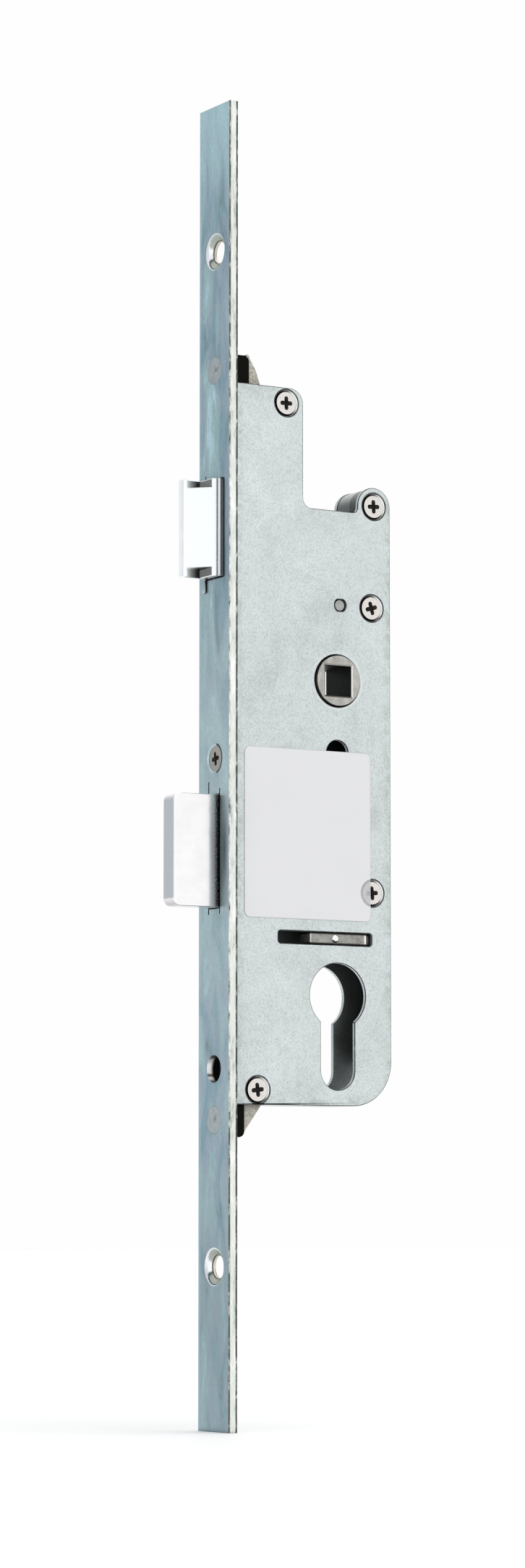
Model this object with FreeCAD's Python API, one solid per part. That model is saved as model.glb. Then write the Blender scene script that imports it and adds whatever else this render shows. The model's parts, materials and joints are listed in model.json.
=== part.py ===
import FreeCAD, Part
import math
import os

# A mortice lock case for a plastic-framed door: a sprung latch worked by the handle's
# follower, and a deadbolt that the key cylinder throws through a slider and a lever.
# Millimetres, +Z up. The origin is on the handle spindle's axis, in the middle of the
# case's thickness. +X runs from the faceplate into the door and -Y is the cover side.

V = FreeCAD.Vector

# Standard distances of the door and its furniture
backset = 35.0
cylinder_centres = 85.0
spindle_square = 8.2
cylinder_z = -cylinder_centres
face_x = -backset

# Faceplate
faceplate_width = 16.0
faceplate_thickness = 2.5
faceplate_above = 155.0
faceplate_below = 200.0
upper_fixing_z = 115.0
lower_fixing_z = -157.0
fixing_hole_d = 6.1
fixing_sink_d = 10.4
fixing_sink_depth = 1.5

# Case
case_thickness = 12.0
sheet = 1.2
case_above = 78.7
case_below_cylinder = 29.4
case_depth = 52.0
step_depth = 24.3
step_z = 46.5
lug_radius = 5.2
lug_above_step = 2.1
lug_fillet = 1.5
top_corner_radius = 4.0
step_fillet = 2.6
bottom_corner_radius = 12.0
fold_radius = 2.0
fold_depth = 2.6

# Clearances
fit_gap = 0.05
running_gap = 0.15
free_gap = 0.3
bolt_gap = 0.3

# The case's ends
case_below = cylinder_centres + case_below_cylinder
case_back_x = face_x + case_depth

# Cover screws and pillars, and how far they stand from the case's edges
screw_d = 3.0
screw_head_d = 6.2
sink_d = 7.5
pillar_d = 7.0
screw_length = 7.5
cross_length = 3.7
cross_width = 1.1
cross_depth = 1.1
screw_turn = 17.0
upper_screw_inset = 4.2
back_screw_inset = 6.0
bottom_screw_inset = 3.9
lower_screw_rise = 28.0
upper_screw = (-16.0, case_above - upper_screw_inset)
back_screw_x = case_back_x - back_screw_inset
middle_screw_z = 20.6
lower_screw_z = cylinder_z + lower_screw_rise
bottom_screw = (-25.0, bottom_screw_inset - case_below)
lug_seam_y = -1.8

# Follower
journal_d = 13.6
hub_stand = 0.8
follower_body_d = 15.6
spindle_chamfer = 0.45
follower_horn_reach = 14.0
follower_horn_angle = 60.0
follower_horn_tip_r = 1.7
follower_horn_root_r = 3.5
follower_swing = 32.0
spring_arm_reach = 12.5
spring_arm_half = 2.0

# Handle fixing hole and inspection window
handle_hole_d = 6.9
handle_hole_z = -19.6
window_width = 3.7
window_height = 3.2

# Latch
latch_z = 39.3
latch_height = 26.4
latch_thickness = 9.1
latch_projection = 8.5
latch_body_length = 21.5
latch_nose = 2.2
latch_nose_radius = 1.6
latch_shoulder = 1.3
latch_notch_length = 4.8
latch_notch_depth = 2.4
latch_notch_wall = 1.4
latch_notch_from_face = 2.7
latch_slit_height = 1.5
tail_rod_d = 4.4
tail_seat = 5.0
crosshead_thickness = 2.5
crosshead_height = 7.0
clip_thickness = 0.8
clip_reach = 3.2
clip_stand = 0.5
clip_hook = 1.6

# Latch lever
latch_pivot_inset = 10.0
latch_pivot = (back_screw_x - latch_pivot_inset, 20.7)
latch_pin_d = 3.0
latch_lever_thickness = 2.0
latch_lever_boss_r = 4.0
latch_lever_tip_r = 2.5
latch_lever_gap = 0.45
latch_pad_lead = 3.0
latch_pad_back_x = latch_pivot[0] - latch_pad_lead
latch_pad_root_angle = 57.3

# Latch guide and spring
guide_thickness = 1.5
guide_lead = 6.2
guide_x = latch_pivot[0] - guide_lead
guide_height = 12.0
latch_spring_r = 3.6
latch_spring_wire_d = 0.9
latch_spring_turns = 7

# Deadbolt
bolt_rise = 37.7
bolt_z = cylinder_z + bolt_rise
bolt_height = 30.0
bolt_thickness = 5.6
bolt_throw = 14.0
bolt_body_length = 22.0
bolt_corner_radius = 2.2
bolt_edge = 0.35
bolt_tail_thickness = 2.2
bolt_tail_height = 12.0
bolt_tail_end_x = -6.0
bolt_tail_overlap = 6.0
bolt_rivet_d = 2.6
bolt_pin_d = 3.0
guide_stud_x = -9.5
guide_stud_d = 2.8
guide_stud_drop = 3.6
detent_x = -9.0
detent_notch_r = 1.0
detent_spread = 2.0
detent_hook = 3.1
slit_width = 0.5
slit_far_top = 3.4
slit_other = 1.4

# Slider that the cylinder's cam moves
slider_throw = 9.5
slider_rest_x = -8.45
slider_rib_length = 17.6
slider_pin_x = -0.6
slot_front_x = -18.7
slot_back_x = 10.8
slot_rise = 15.3
slot_z = cylinder_z + slot_rise
slot_height = 3.4
slot_corner = 0.8
slider_thickness = 3.9
slider_top_rise = 20.4
slider_foot_rise = 11.0
slider_notch_rise = 15.8
slider_top_z = cylinder_z + slider_top_rise
slider_foot_z = cylinder_z + slider_foot_rise
slider_notch_roof_z = cylinder_z + slider_notch_rise
slider_notch_x = 0.2
slider_tooth = 3.2
slider_end_inset = 4.5
slider_end_x = case_back_x - slider_end_inset
slider_drive_rise = 18.5
slider_drive_z = cylinder_z + slider_drive_rise
slider_drive_d = 2.6
slider_rivet_d = 2.2
slider_rivet_stand = 0.4

# Deadbolt lever
bolt_lever_thickness = 2.5
bolt_lever_boss_r = 4.0
bolt_lever_pin_d = 4.0
fork_gap = 0.5
fork_wall = 1.5

# Key cylinder profile
cylinder_d = 17.5
cylinder_slot_width = 10.6
cylinder_drop = 25.2
cylinder_screw_drop = 20.0
cylinder_screw_hole_d = 7.3
cylinder_screw_way_d = 5.8

# Faceplate screw, end brackets and rivets
face_screw_z = -22.5
face_screw_d = 4.0
face_screw_head_d = 6.9
face_screw_sink_d = 7.6
face_screw_length = 9.0
block_length = 6.5
block_height = 10.0
rivet_shank_d = 4.0
rivet_head_d = 7.6
rivet_head_depth = 1.2
rivet_dimple_d = 1.8
rivet_upper_grip = 2.6
rivet_lower_grip = 2.2
upper_rivet_offset = 3.8
lower_rivet_offset = 4.1
upper_rivet_z = case_above + upper_rivet_offset
lower_rivet_z = -case_below - lower_rivet_offset
upper_packer_length = 5.6
lower_packer_length = 4.3
packer_width = 9.0
upper_packer_height = 7.8
lower_packer_height = 8.6
upper_packer_top_z = case_above + upper_packer_height
lower_packer_foot_z = -case_below - lower_packer_height
packer_corner = 1.6
bracket_width = 6.0
bracket_depth = 3.0
bracket_lip = 0.7
bracket_lean = 1.6
bracket_boss_r = 4.6

# Follower spring and deadbolt detent spring
follower_post_x = -20.0
follower_post_d = 5.0
follower_spring_r = 4.0
follower_spring_wire_d = 1.0
follower_spring_turns = 2
follower_spring_leg = 9.0
follower_peg_x = -27.5
follower_peg_d = 2.5
coil_gap = 0.5
detent_post_inset = 8.5
detent_post_rise = 12.8
detent_post = (case_back_x - detent_post_inset, bolt_z + detent_post_rise)
detent_post_d = 4.0
detent_spring_r = 3.0
detent_wire_d = 1.2
detent_turns = 2.25

# Blank label
label_inset = 5.8
label_rise = 50.5
label_left_x = face_x + label_inset
label_top_z = slot_z + label_rise
label_width = 39.6
label_height = 45.6
label_thickness = 0.15
label_corner = 1.8

# Places worked out from the sizes above
plate_back_x = face_x + faceplate_thickness
step_x = face_x + step_depth
screw_head_y = (sink_d - screw_head_d - case_thickness) / 2
half_case = case_thickness / 2
half_inside = half_case - sheet
hub_end_y = half_case + hub_stand
half_plate = faceplate_width / 2
lug_x = case_back_x - lug_radius
lug_z = step_z + lug_above_step
latch_tip_x = face_x - latch_projection
latch_back_x = latch_tip_x + latch_body_length
bolt_tip_x = face_x - bolt_throw
bolt_back_x = bolt_tip_x + bolt_body_length
layer_y = half_inside - free_gap
upper_bracket_back_x = plate_back_x + upper_packer_length + bracket_depth
lower_bracket_back_x = bottom_screw[0] + 4 * bracket_lip
cover_screws = [
    upper_screw,
    (lug_x, lug_z),
    (back_screw_x, middle_screw_z),
    (back_screw_x, lower_screw_z),
    bottom_screw,
]
tiny = 1e-6


def box(x0, x1, y0, y1, z0, z1):
    """A block between two corners."""
    return Part.makeBox(x1 - x0, y1 - y0, z1 - z0, V(x0, y0, z0))


def rod_y(place, radius, y0, y1):
    """A round bar along Y at a place (x, z)."""
    return Part.makeCylinder(radius, y1 - y0, V(place[0], y0, place[1]), V(0, 1, 0))


def rod_x(z, radius, x0, x1, y=0.0):
    """A round bar along X."""
    return Part.makeCylinder(radius, x1 - x0, V(x0, y, z), V(1, 0, 0))


def cone_y(place, r0, r1, y0, y1):
    """A cone along Y, of radius r0 at y0 and r1 at y1."""
    return Part.makeCone(r0, r1, y1 - y0, V(place[0], y0, place[1]), V(0, 1, 0))


def cone_x(z, r0, r1, x0, x1):
    """A cone along X on the faceplate's centre line."""
    return Part.makeCone(r0, r1, x1 - x0, V(x0, 0, z), V(1, 0, 0))


def rounded_face(corners, lift):
    """A closed face through corners (u, v, radius); lift turns (u, v) into a point."""
    points = [lift(u, v) for u, v, radius in corners]
    count = len(corners)
    turns = []
    for index, (u, v, radius) in enumerate(corners):
        here = points[index]
        before = (points[index - 1] - here).normalize()
        after = (points[(index + 1) % count] - here).normalize()
        if radius <= 0:
            turns.append((here, here, None))
            continue
        half = before.getAngle(after) / 2
        reach = radius / math.tan(half)
        inward = (before + after).normalize()
        middle = here + inward * (radius / math.sin(half) - radius)
        turns.append((here + before * reach, here + after * reach, middle))
    edges = []
    for index, (start, end, middle) in enumerate(turns):
        if middle is not None:
            edges.append(Part.Arc(start, middle, end).toShape())
        following = turns[(index + 1) % count][0]
        if (following - end).Length > tiny:
            edges.append(Part.makeLine(end, following))
    return Part.Face(Part.Wire(edges))


def slab_y(corners, y0, y1):
    """A plate whose outline lies in XZ, from y0 to y1."""
    face = rounded_face(corners, lambda u, v: V(u, y0, v))
    return face.extrude(V(0, y1 - y0, 0))


def slab_z(corners, z0, z1):
    """A bar whose outline lies in XY, from z0 to z1."""
    face = rounded_face(corners, lambda u, v: V(u, v, z0))
    return face.extrude(V(0, 0, z1 - z0))


def link(start, r0, end, r1, y0, y1):
    """A bar with round ends, tangent to both, that joins two places (x, z)."""
    along = V(end[0] - start[0], 0, end[1] - start[1])
    length = along.Length
    along.normalize()
    side = V(-along.z, 0, along.x)
    lean = (r0 - r1) / length
    square = math.sqrt(1 - lean * lean)
    corners = []
    for place, radius, sign in ((start, r0, 1), (end, r1, 1), (end, r1, -1), (start, r0, -1)):
        spot = V(place[0], 0, place[1]) + along * (radius * lean) + side * (sign * radius * square)
        corners.append((spot.x, spot.z, 0))
    bar = slab_y(corners, y0, y1)
    return bar.fuse([rod_y(start, r0, y0, y1), rod_y(end, r1, y0, y1)]).removeSplitter()


def case_outline():
    """The outline that the cover and the tray share."""
    lug_top_z = lug_z + lug_radius
    lug_front_x = lug_x - lug_radius
    return [
        (plate_back_x + fold_radius, -case_below, 0),
        (plate_back_x + fold_radius, case_above, 0),
        (step_x, case_above, top_corner_radius),
        (step_x, step_z, step_fillet),
        (lug_front_x, step_z, lug_fillet),
        (lug_front_x, lug_top_z, lug_radius),
        (case_back_x, lug_top_z, lug_radius),
        (case_back_x, -case_below, bottom_corner_radius),
    ]


def cylinder_opening():
    """The profile of a key cylinder, right through the case."""
    reach = half_case + sheet
    round_part = rod_y((0, cylinder_z), cylinder_d / 2, -reach, reach)
    half = cylinder_slot_width / 2
    foot_z = cylinder_z - cylinder_drop + half
    stem = box(-half, half, -reach, reach, foot_z, cylinder_z)
    foot = rod_y((0, foot_z), half, -reach, reach)
    return round_part.fuse([stem, foot]).removeSplitter()


def cylinder_screw_way(diameter, end_x):
    """The way of the cylinder's fixing screw, from the faceplate inwards."""
    return rod_x(cylinder_z - cylinder_screw_drop, diameter / 2, face_x, end_x)


def bolt_windows():
    """Blocks that clear the latch and the deadbolt where the case folds along the faceplate."""
    blocks = []
    reach_y = half_inside + free_gap
    for centre, height in ((latch_z, latch_height), (bolt_z, bolt_height)):
        half = height / 2 + 2 * bolt_gap
        blocks.append(box(face_x, plate_back_x + sheet + free_gap, -reach_y, reach_y,
                          centre - half, centre + half))
    return blocks


def front_fold(sign):
    """The sheet's fold along the faceplate: sign is -1 for the cover and 1 for the tray."""
    bend_x = plate_back_x + fold_radius
    bend_y = half_case - fold_radius
    height = case_above + case_below
    foot = V(bend_x, sign * bend_y, -case_below)
    ring = Part.makeCylinder(fold_radius, height, foot).cut(
        Part.makeCylinder(fold_radius - sheet, height, foot)
    )
    quarter = sorted((sign * bend_y, sign * half_case))
    ring = ring.common(box(plate_back_x, bend_x, quarter[0], quarter[1], -case_below, case_above))
    leg = sorted((sign * bend_y, sign * (bend_y - fold_depth)))
    flange = box(plate_back_x, plate_back_x + sheet, leg[0], leg[1], -case_below, case_above)
    return ring.fuse(flange)


def case_holes(sheet_part):
    """Cuts that the cover and the tray share."""
    reach = half_case + sheet
    tools = bolt_windows()
    tools.append(cylinder_opening())
    tools.append(rod_y((0, 0), journal_d / 2 + free_gap, -reach, reach))
    tools.append(rod_y((0, handle_hole_z), handle_hole_d / 2, -reach, reach))
    tools.append(cylinder_screw_way(cylinder_screw_hole_d, plate_back_x + fold_radius))
    block_half = block_height / 2 + running_gap
    tools.append(
        box(face_x, plate_back_x + block_length, -half_inside, half_inside,
            face_screw_z - block_half, face_screw_z + block_half)
    )
    return sheet_part.cut(tools)


def make_cover():
    """Front sheet with its fold, countersinks, window and slider slot."""
    cover = slab_y(case_outline(), -half_case, -half_inside).fuse(front_fold(-1))
    cover = case_holes(cover)
    tools = []
    sink_r = sink_d / 2
    for place in cover_screws:
        tools.append(cone_y(place, sink_r, sink_r - sheet, -half_case, -half_inside))
    half_slot = slot_height / 2
    tools.append(
        slab_y(
            [
                (slot_front_x, slot_z - half_slot, slot_corner),
                (slot_back_x, slot_z - half_slot, slot_corner),
                (slot_back_x, slot_z + half_slot, slot_corner),
                (slot_front_x, slot_z + half_slot, slot_corner),
            ],
            -half_case - sheet,
            -half_inside + sheet,
        )
    )
    window = rod_y(latch_pivot, window_width / 2, -half_case, -half_inside)
    half_window = window_height / 2
    window = window.common(
        box(latch_pivot[0] - window_width, latch_pivot[0] + window_width, -half_case, -half_inside,
            latch_pivot[1] - half_window, latch_pivot[1] + half_window)
    )
    tools.append(window)
    return cover.cut(tools).removeSplitter()


def make_tray():
    """Back sheet with the walls that stand up to the cover."""
    tray = slab_y(case_outline(), half_inside, half_case).fuse(front_fold(1))
    foot_z = -case_below
    walls = [
        box(case_back_x - sheet, case_back_x, -half_inside, half_inside,
            foot_z + bottom_corner_radius, step_z - lug_radius),
        box(lower_bracket_back_x + free_gap, case_back_x - bottom_corner_radius,
            -half_inside, half_inside, foot_z, foot_z + sheet),
        box(upper_bracket_back_x + bracket_lean + free_gap, step_x - top_corner_radius,
            -half_inside, half_inside, case_above - sheet, case_above),
    ]
    tray = case_holes(tray.fuse(walls))
    pillars = [
        rod_y(place, pillar_d / 2 + fit_gap, -half_inside, half_inside)
        for place in cover_screws if place != (lug_x, lug_z)
    ]
    return tray.cut(pillars).removeSplitter()


def cross_recess(head_y, place, turn):
    """A cross recess cut into a screw head that faces -Y."""
    half_long = cross_length / 2
    half_wide = cross_width / 2
    x, z = place
    bars = [
        box(x - half_long, x + half_long, head_y, head_y + cross_depth, z - half_wide, z + half_wide),
        box(x - half_wide, x + half_wide, head_y, head_y + cross_depth, z - half_long, z + half_long),
    ]
    cross = bars[0].fuse(bars[1])
    cross.rotate(V(x, 0, z), V(0, 1, 0), turn)
    return cross


def make_cover_screws():
    """The five countersunk screws, each with its cross recess turned its own way."""
    screws = []
    head_r = screw_head_d / 2
    depth = head_r - screw_d / 2
    for index, place in enumerate(cover_screws):
        head = cone_y(place, head_r, screw_d / 2, screw_head_y, screw_head_y + depth)
        shank = rod_y(place, screw_d / 2, screw_head_y + depth, screw_head_y + screw_length)
        screw = head.fuse(shank).cut(cross_recess(screw_head_y, place, screw_turn * index * index))
        screws.append(screw)
    return Part.makeCompound(screws)


def pillar(place, radius):
    """A tapped pillar between the two sheets, sunk for its screw's head."""
    post = rod_y(place, radius, -half_inside, half_inside)
    sink_r = sink_d / 2 - sheet
    bore = rod_y(place, screw_d / 2, -half_inside, screw_head_y + screw_length + free_gap)
    sink = cone_y(place, sink_r, screw_d / 2, -half_inside, -half_inside + sink_r - screw_d / 2)
    return post.cut([bore, sink])


def make_pillars():
    """The four plain pillars; the lug has a larger bush of its own."""
    places = [place for place in cover_screws if place != (lug_x, lug_z)]
    posts = [pillar(place, pillar_d / 2) for place in places if place != bottom_screw]
    posts.append(pillar(bottom_screw, pillar_d / 2).cut(cylinder_screw_way(cylinder_screw_way_d, 0)))
    return Part.makeCompound(posts)


def make_lug_bush():
    """The wide bush behind the lug, with the groove where its two halves meet."""
    radius = lug_radius - running_gap
    bush = pillar((lug_x, lug_z), radius)
    seam_end_y = lug_seam_y + running_gap
    groove = rod_y((lug_x, lug_z), radius + sheet, lug_seam_y, seam_end_y).cut(
        rod_y((lug_x, lug_z), radius - running_gap, lug_seam_y, seam_end_y)
    )
    return bush.cut(groove)


def make_faceplate():
    """The long flat bar with its apertures and holes."""
    plate = box(face_x, plate_back_x, -half_plate, half_plate, -faceplate_below, faceplate_above)
    tools = []
    sink_r = fixing_sink_d / 2
    hole_r = fixing_hole_d / 2
    for z in (upper_fixing_z, lower_fixing_z):
        tools.append(cone_x(z, sink_r, hole_r, face_x, face_x + fixing_sink_depth))
        tools.append(rod_x(z, hole_r, face_x, plate_back_x))
    for z in (upper_rivet_z, lower_rivet_z):
        tools.append(rod_x(z, rivet_head_d / 2, face_x, face_x + rivet_head_depth))
        tools.append(rod_x(z, rivet_shank_d / 2, face_x, plate_back_x))
    sink_r = face_screw_sink_d / 2
    hole_r = face_screw_d / 2 + running_gap
    tools.append(cone_x(face_screw_z, sink_r, hole_r, face_x, face_x + sink_r - hole_r))
    tools.append(rod_x(face_screw_z, hole_r, face_x, plate_back_x))
    tools.append(cylinder_screw_way(cylinder_screw_hole_d, plate_back_x))
    half_y = latch_thickness / 2 + bolt_gap
    half_z = latch_height / 2 + bolt_gap
    tools.append(box(face_x, plate_back_x, -half_y, half_y, latch_z - half_z, latch_z + half_z))
    y0, y1, z0, z1 = clip_slot()
    tools.append(box(face_x, plate_back_x, y0, y1, z0, z1))
    top_z = latch_z + half_z
    tools.append(box(face_x, plate_back_x, half_y - slit_width, half_y, top_z, top_z + latch_slit_height))
    half_y = bolt_thickness / 2 + bolt_gap
    half_z = bolt_height / 2 + bolt_gap
    tools.append(box(face_x, plate_back_x, -half_y, half_y, bolt_z - half_z, bolt_z + half_z))
    for side in (-1, 1):
        for end in (-1, 1):
            reach = slit_far_top if side > 0 and end > 0 else slit_other
            ys = sorted((side * half_y, side * (half_y - slit_width)))
            zs = sorted((bolt_z + end * half_z, bolt_z + end * (half_z + reach)))
            tools.append(box(face_x, plate_back_x, ys[0], ys[1], zs[0], zs[1]))
    return plate.cut(tools)


def make_face_screw():
    """The screw that draws the faceplate to the block in the case."""
    head_r = face_screw_head_d / 2
    depth = head_r - face_screw_d / 2
    head_x = face_x + (face_screw_sink_d - face_screw_head_d) / 2
    head = cone_x(face_screw_z, head_r, face_screw_d / 2, head_x, head_x + depth)
    shank = rod_x(face_screw_z, face_screw_d / 2, head_x + depth, head_x + face_screw_length)
    half_long = cross_length / 2
    half_wide = cross_width / 2
    cross = box(head_x, head_x + cross_depth, -half_long, half_long,
                face_screw_z - half_wide, face_screw_z + half_wide)
    upright = box(head_x, head_x + cross_depth, -half_wide, half_wide,
                  face_screw_z - half_long, face_screw_z + half_long)
    return head.fuse(shank).cut([cross, upright])


def make_fixing_block():
    """The tapped block between the sheets that takes the faceplate's screw."""
    half = block_height / 2
    block = box(plate_back_x, plate_back_x + block_length, -half_inside, half_inside,
                face_screw_z - half, face_screw_z + half)
    return block.cut(rod_x(face_screw_z, face_screw_d / 2, plate_back_x, plate_back_x + block_length))


def make_packer(upper):
    """A black packer between the faceplate and an end bracket."""
    half = packer_width / 2
    length = upper_packer_length if upper else lower_packer_length
    z0 = case_above if upper else lower_packer_foot_z
    z1 = upper_packer_top_z if upper else -case_below
    back_x = plate_back_x + length
    corners = [
        (plate_back_x, z0, 0),
        (back_x, z0, 0 if upper else packer_corner),
        (back_x, z1, packer_corner if upper else 0),
        (plate_back_x, z1, 0),
    ]
    packer = slab_y(corners, -half, half)
    rivet_z = upper_rivet_z if upper else lower_rivet_z
    return packer.cut(rod_x(rivet_z, rivet_shank_d / 2, plate_back_x, back_x))


def make_upper_bracket():
    """The cast bracket above the case: an S-shaped back, and a root round the top pillar."""
    half = bracket_width / 2
    front_x = plate_back_x + upper_packer_length
    back_x = upper_bracket_back_x
    under_wall_z = case_above - sheet - running_gap
    foot_z = upper_screw[1] - bracket_boss_r
    corners = [
        (front_x, foot_z, 0),
        (upper_screw[0], foot_z, 0),
        (upper_screw[0], under_wall_z, 0),
        (back_x + bracket_lean, under_wall_z, 0),
        (back_x + bracket_lean, case_above, 0),
        (back_x, upper_rivet_z + bracket_lip, bracket_depth),
        (front_x + 2 * bracket_lip, upper_packer_top_z - bracket_lip, bracket_depth / 2),
        (front_x + bracket_lip, upper_packer_top_z + bracket_lip, 0),
        (front_x, upper_packer_top_z + bracket_lip, 0),
    ]
    boss = rod_y(upper_screw, bracket_boss_r, -half, half).common(
        box(front_x, step_x, -half, half, foot_z, under_wall_z)
    )
    tools = [
        rod_y(upper_screw, pillar_d / 2 + fit_gap, -half, half),
        rod_x(upper_rivet_z, rivet_shank_d / 2, front_x, back_x + bracket_depth),
    ]
    return slab_y(corners, -half, half).fuse(boss).cut(tools).removeSplitter()


def make_lower_bracket():
    """The cast bracket below the case, which tapers down beside its packer."""
    half = bracket_width / 2
    front_x = plate_back_x + lower_packer_length
    back_x = lower_bracket_back_x
    over_wall_z = -case_below + sheet + running_gap
    top_z = bottom_screw[1] + bracket_boss_r
    corners = [
        (front_x, lower_packer_foot_z + 2 * bracket_lip, 0),
        (front_x + bracket_lip, lower_packer_foot_z + 2 * bracket_lip, 0),
        (back_x, -case_below, bracket_depth / 2),
        (back_x, top_z, 0),
        (front_x, top_z, 0),
    ]
    boss = rod_y(bottom_screw, bracket_boss_r, -half, half).common(
        box(front_x, step_x, -half, half, over_wall_z, top_z)
    )
    tools = [
        rod_y(bottom_screw, pillar_d / 2 + fit_gap, -half, half),
        rod_x(lower_rivet_z, rivet_shank_d / 2, front_x, back_x + bracket_depth),
        cylinder_screw_way(cylinder_screw_way_d, 0),
    ]
    return slab_y(corners, -half, half).fuse(boss).cut(tools).removeSplitter()


def make_rivets():
    """The two flush rivets that hold the end brackets to the faceplate."""
    rivets = []
    for z, length, grip in (
        (upper_rivet_z, upper_packer_length, rivet_upper_grip),
        (lower_rivet_z, lower_packer_length, rivet_lower_grip),
    ):
        head = rod_x(z, rivet_head_d / 2, face_x, face_x + rivet_head_depth)
        shank = rod_x(z, rivet_shank_d / 2, face_x + rivet_head_depth, plate_back_x + length + grip)
        dimple = cone_x(z, rivet_dimple_d / 2, tiny, face_x, face_x + rivet_dimple_d / 2)
        rivets.append(head.fuse(shank).cut(dimple))
    return Part.makeCompound(rivets)


def spindle_chamfer_tool(side):
    """The flared mouth of the spindle square on one side of the hub."""
    half = spindle_square / 2
    rings = []
    for size, y in ((half + spindle_chamfer, hub_end_y), (half, hub_end_y - spindle_chamfer)):
        square = [(-size, -size), (size, -size), (size, size), (-size, size), (-size, -size)]
        rings.append(Part.makePolygon([V(x, side * y, z) for x, z in square]))
    return Part.makeLoft(rings, True, True)


def make_follower():
    """The hub with its spindle square, the horn that works the latch and the sprung arm."""
    body = rod_y((0, 0), follower_body_d / 2, -layer_y, layer_y)
    journal = rod_y((0, 0), journal_d / 2, -hub_end_y, hub_end_y)
    y1 = latch_lever_layer()[1]
    horn = link((0, 0), follower_horn_root_r, horn_tip(0), follower_horn_tip_r, -layer_y, y1)
    spring_tip = (spring_arm_half - spring_arm_reach, 0)
    spring_arm = link((0, 0), spring_arm_half, spring_tip, spring_arm_half, 0, layer_y)
    hub = body.fuse([journal, horn, spring_arm])
    half = spindle_square / 2
    tools = [box(-half, half, -hub_end_y, hub_end_y, -half, half)]
    tools += [spindle_chamfer_tool(side) for side in (-1, 1)]
    return hub.cut(tools).removeSplitter()


def make_latch():
    """The bevelled latch head, with its notched ends and a bore for the tail."""
    half = latch_thickness / 2
    corners = [
        (latch_back_x, half, 0),
        (latch_tip_x, half, 0),
        (latch_tip_x, half - latch_nose, latch_nose_radius),
        (face_x - latch_shoulder, -half, 0),
        (latch_back_x, -half, 0),
    ]
    top_z = latch_z + latch_height / 2
    foot_z = latch_z - latch_height / 2
    head = slab_z(corners, foot_z, top_z)
    notch_back_x = face_x - latch_notch_from_face
    notch_front_x = notch_back_x - latch_notch_length
    wall_y = half - latch_notch_wall
    tools = [rod_x(latch_z, tail_rod_d / 2, latch_back_x - tail_seat, latch_back_x)]
    for z0, z1 in ((top_z - latch_notch_depth, top_z), (foot_z, foot_z + latch_notch_depth)):
        tools.append(box(notch_front_x, notch_back_x, -half, wall_y, z0, z1))
    return head.cut(tools)


def make_latch_tail():
    """The rod that the spring sits on, with the crosshead that the lever pushes."""
    crosshead_x = latch_pivot[0] + latch_lever_tip_r + latch_lever_gap
    rod = rod_x(latch_z, tail_rod_d / 2, latch_back_x - tail_seat, crosshead_x + crosshead_thickness)
    half = crosshead_height / 2
    head = box(crosshead_x, crosshead_x + crosshead_thickness, -layer_y, layer_y,
               latch_z - half, latch_z + half)
    return rod.fuse(head).removeSplitter()


def make_latch_guide():
    """The fixed plate that guides the tail and backs the latch spring."""
    top_z = latch_z + guide_height / 2
    foot_z = latch_z - guide_height / 2
    plate = box(guide_x, guide_x + guide_thickness, -half_inside, half_inside, foot_z, top_z)
    hole = rod_x(latch_z, tail_rod_d / 2 + fit_gap, guide_x, guide_x + guide_thickness)
    return plate.cut(hole)


def clip_slot():
    """The y range and the z range of the slit below the latch that holds the guide clip."""
    far_y = latch_thickness / 2 + bolt_gap
    top_z = latch_z - latch_height / 2 - bolt_gap
    return far_y - clip_thickness - 2 * fit_gap, far_y, top_z - clip_reach - fit_gap, top_z


def make_latch_clip():
    """The hooked clip that guides the reversible latch and shows below it."""
    y0, y1, z0, z1 = clip_slot()
    y0 += fit_gap
    y1 -= fit_gap
    z0 += fit_gap
    stem = box(face_x - clip_stand, plate_back_x, y0, y1, z0, z1)
    hook = box(face_x - clip_stand, face_x - fit_gap, y0, y0 + clip_hook, z0, z0 + clip_thickness)
    return stem.fuse(hook).removeSplitter()


def latch_lever_layer():
    """The y range of the latch lever, just behind the cover."""
    return -layer_y, -layer_y + latch_lever_thickness


def latch_lever_swing():
    """The lever's turn, in radians, that draws the latch flush."""
    return math.asin(latch_projection / (latch_z - latch_pivot[1]))


def horn_tip(turn):
    """The centre of the horn's round tip once the follower has turned, in radians."""
    angle = math.radians(follower_horn_angle) - turn
    return (-follower_horn_reach * math.sin(angle), follower_horn_reach * math.cos(angle))


def latch_pad():
    """The centre and radius of the lever's pad, so that the horn stays on it all the way."""
    full = math.radians(follower_swing)
    spots = []
    for share in (0, 0.5, 1):
        x, z = horn_tip(share * full)
        spots.append(turned((x, z), latch_pivot, -share * latch_lever_swing()))
    ring = Part.Circle(*[V(x, 0, z) for x, z in spots])
    return (ring.Center.x, ring.Center.z), ring.Radius - follower_horn_tip_r - free_gap


def turned(place, pivot, angle):
    """A place (x, z) turned about a pivot, clockwise as seen from the cover, in radians."""
    x = place[0] - pivot[0]
    z = place[1] - pivot[1]
    cosine = math.cos(angle)
    sine = math.sin(angle)
    return (pivot[0] + x * cosine + z * sine, pivot[1] - x * sine + z * cosine)


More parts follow.
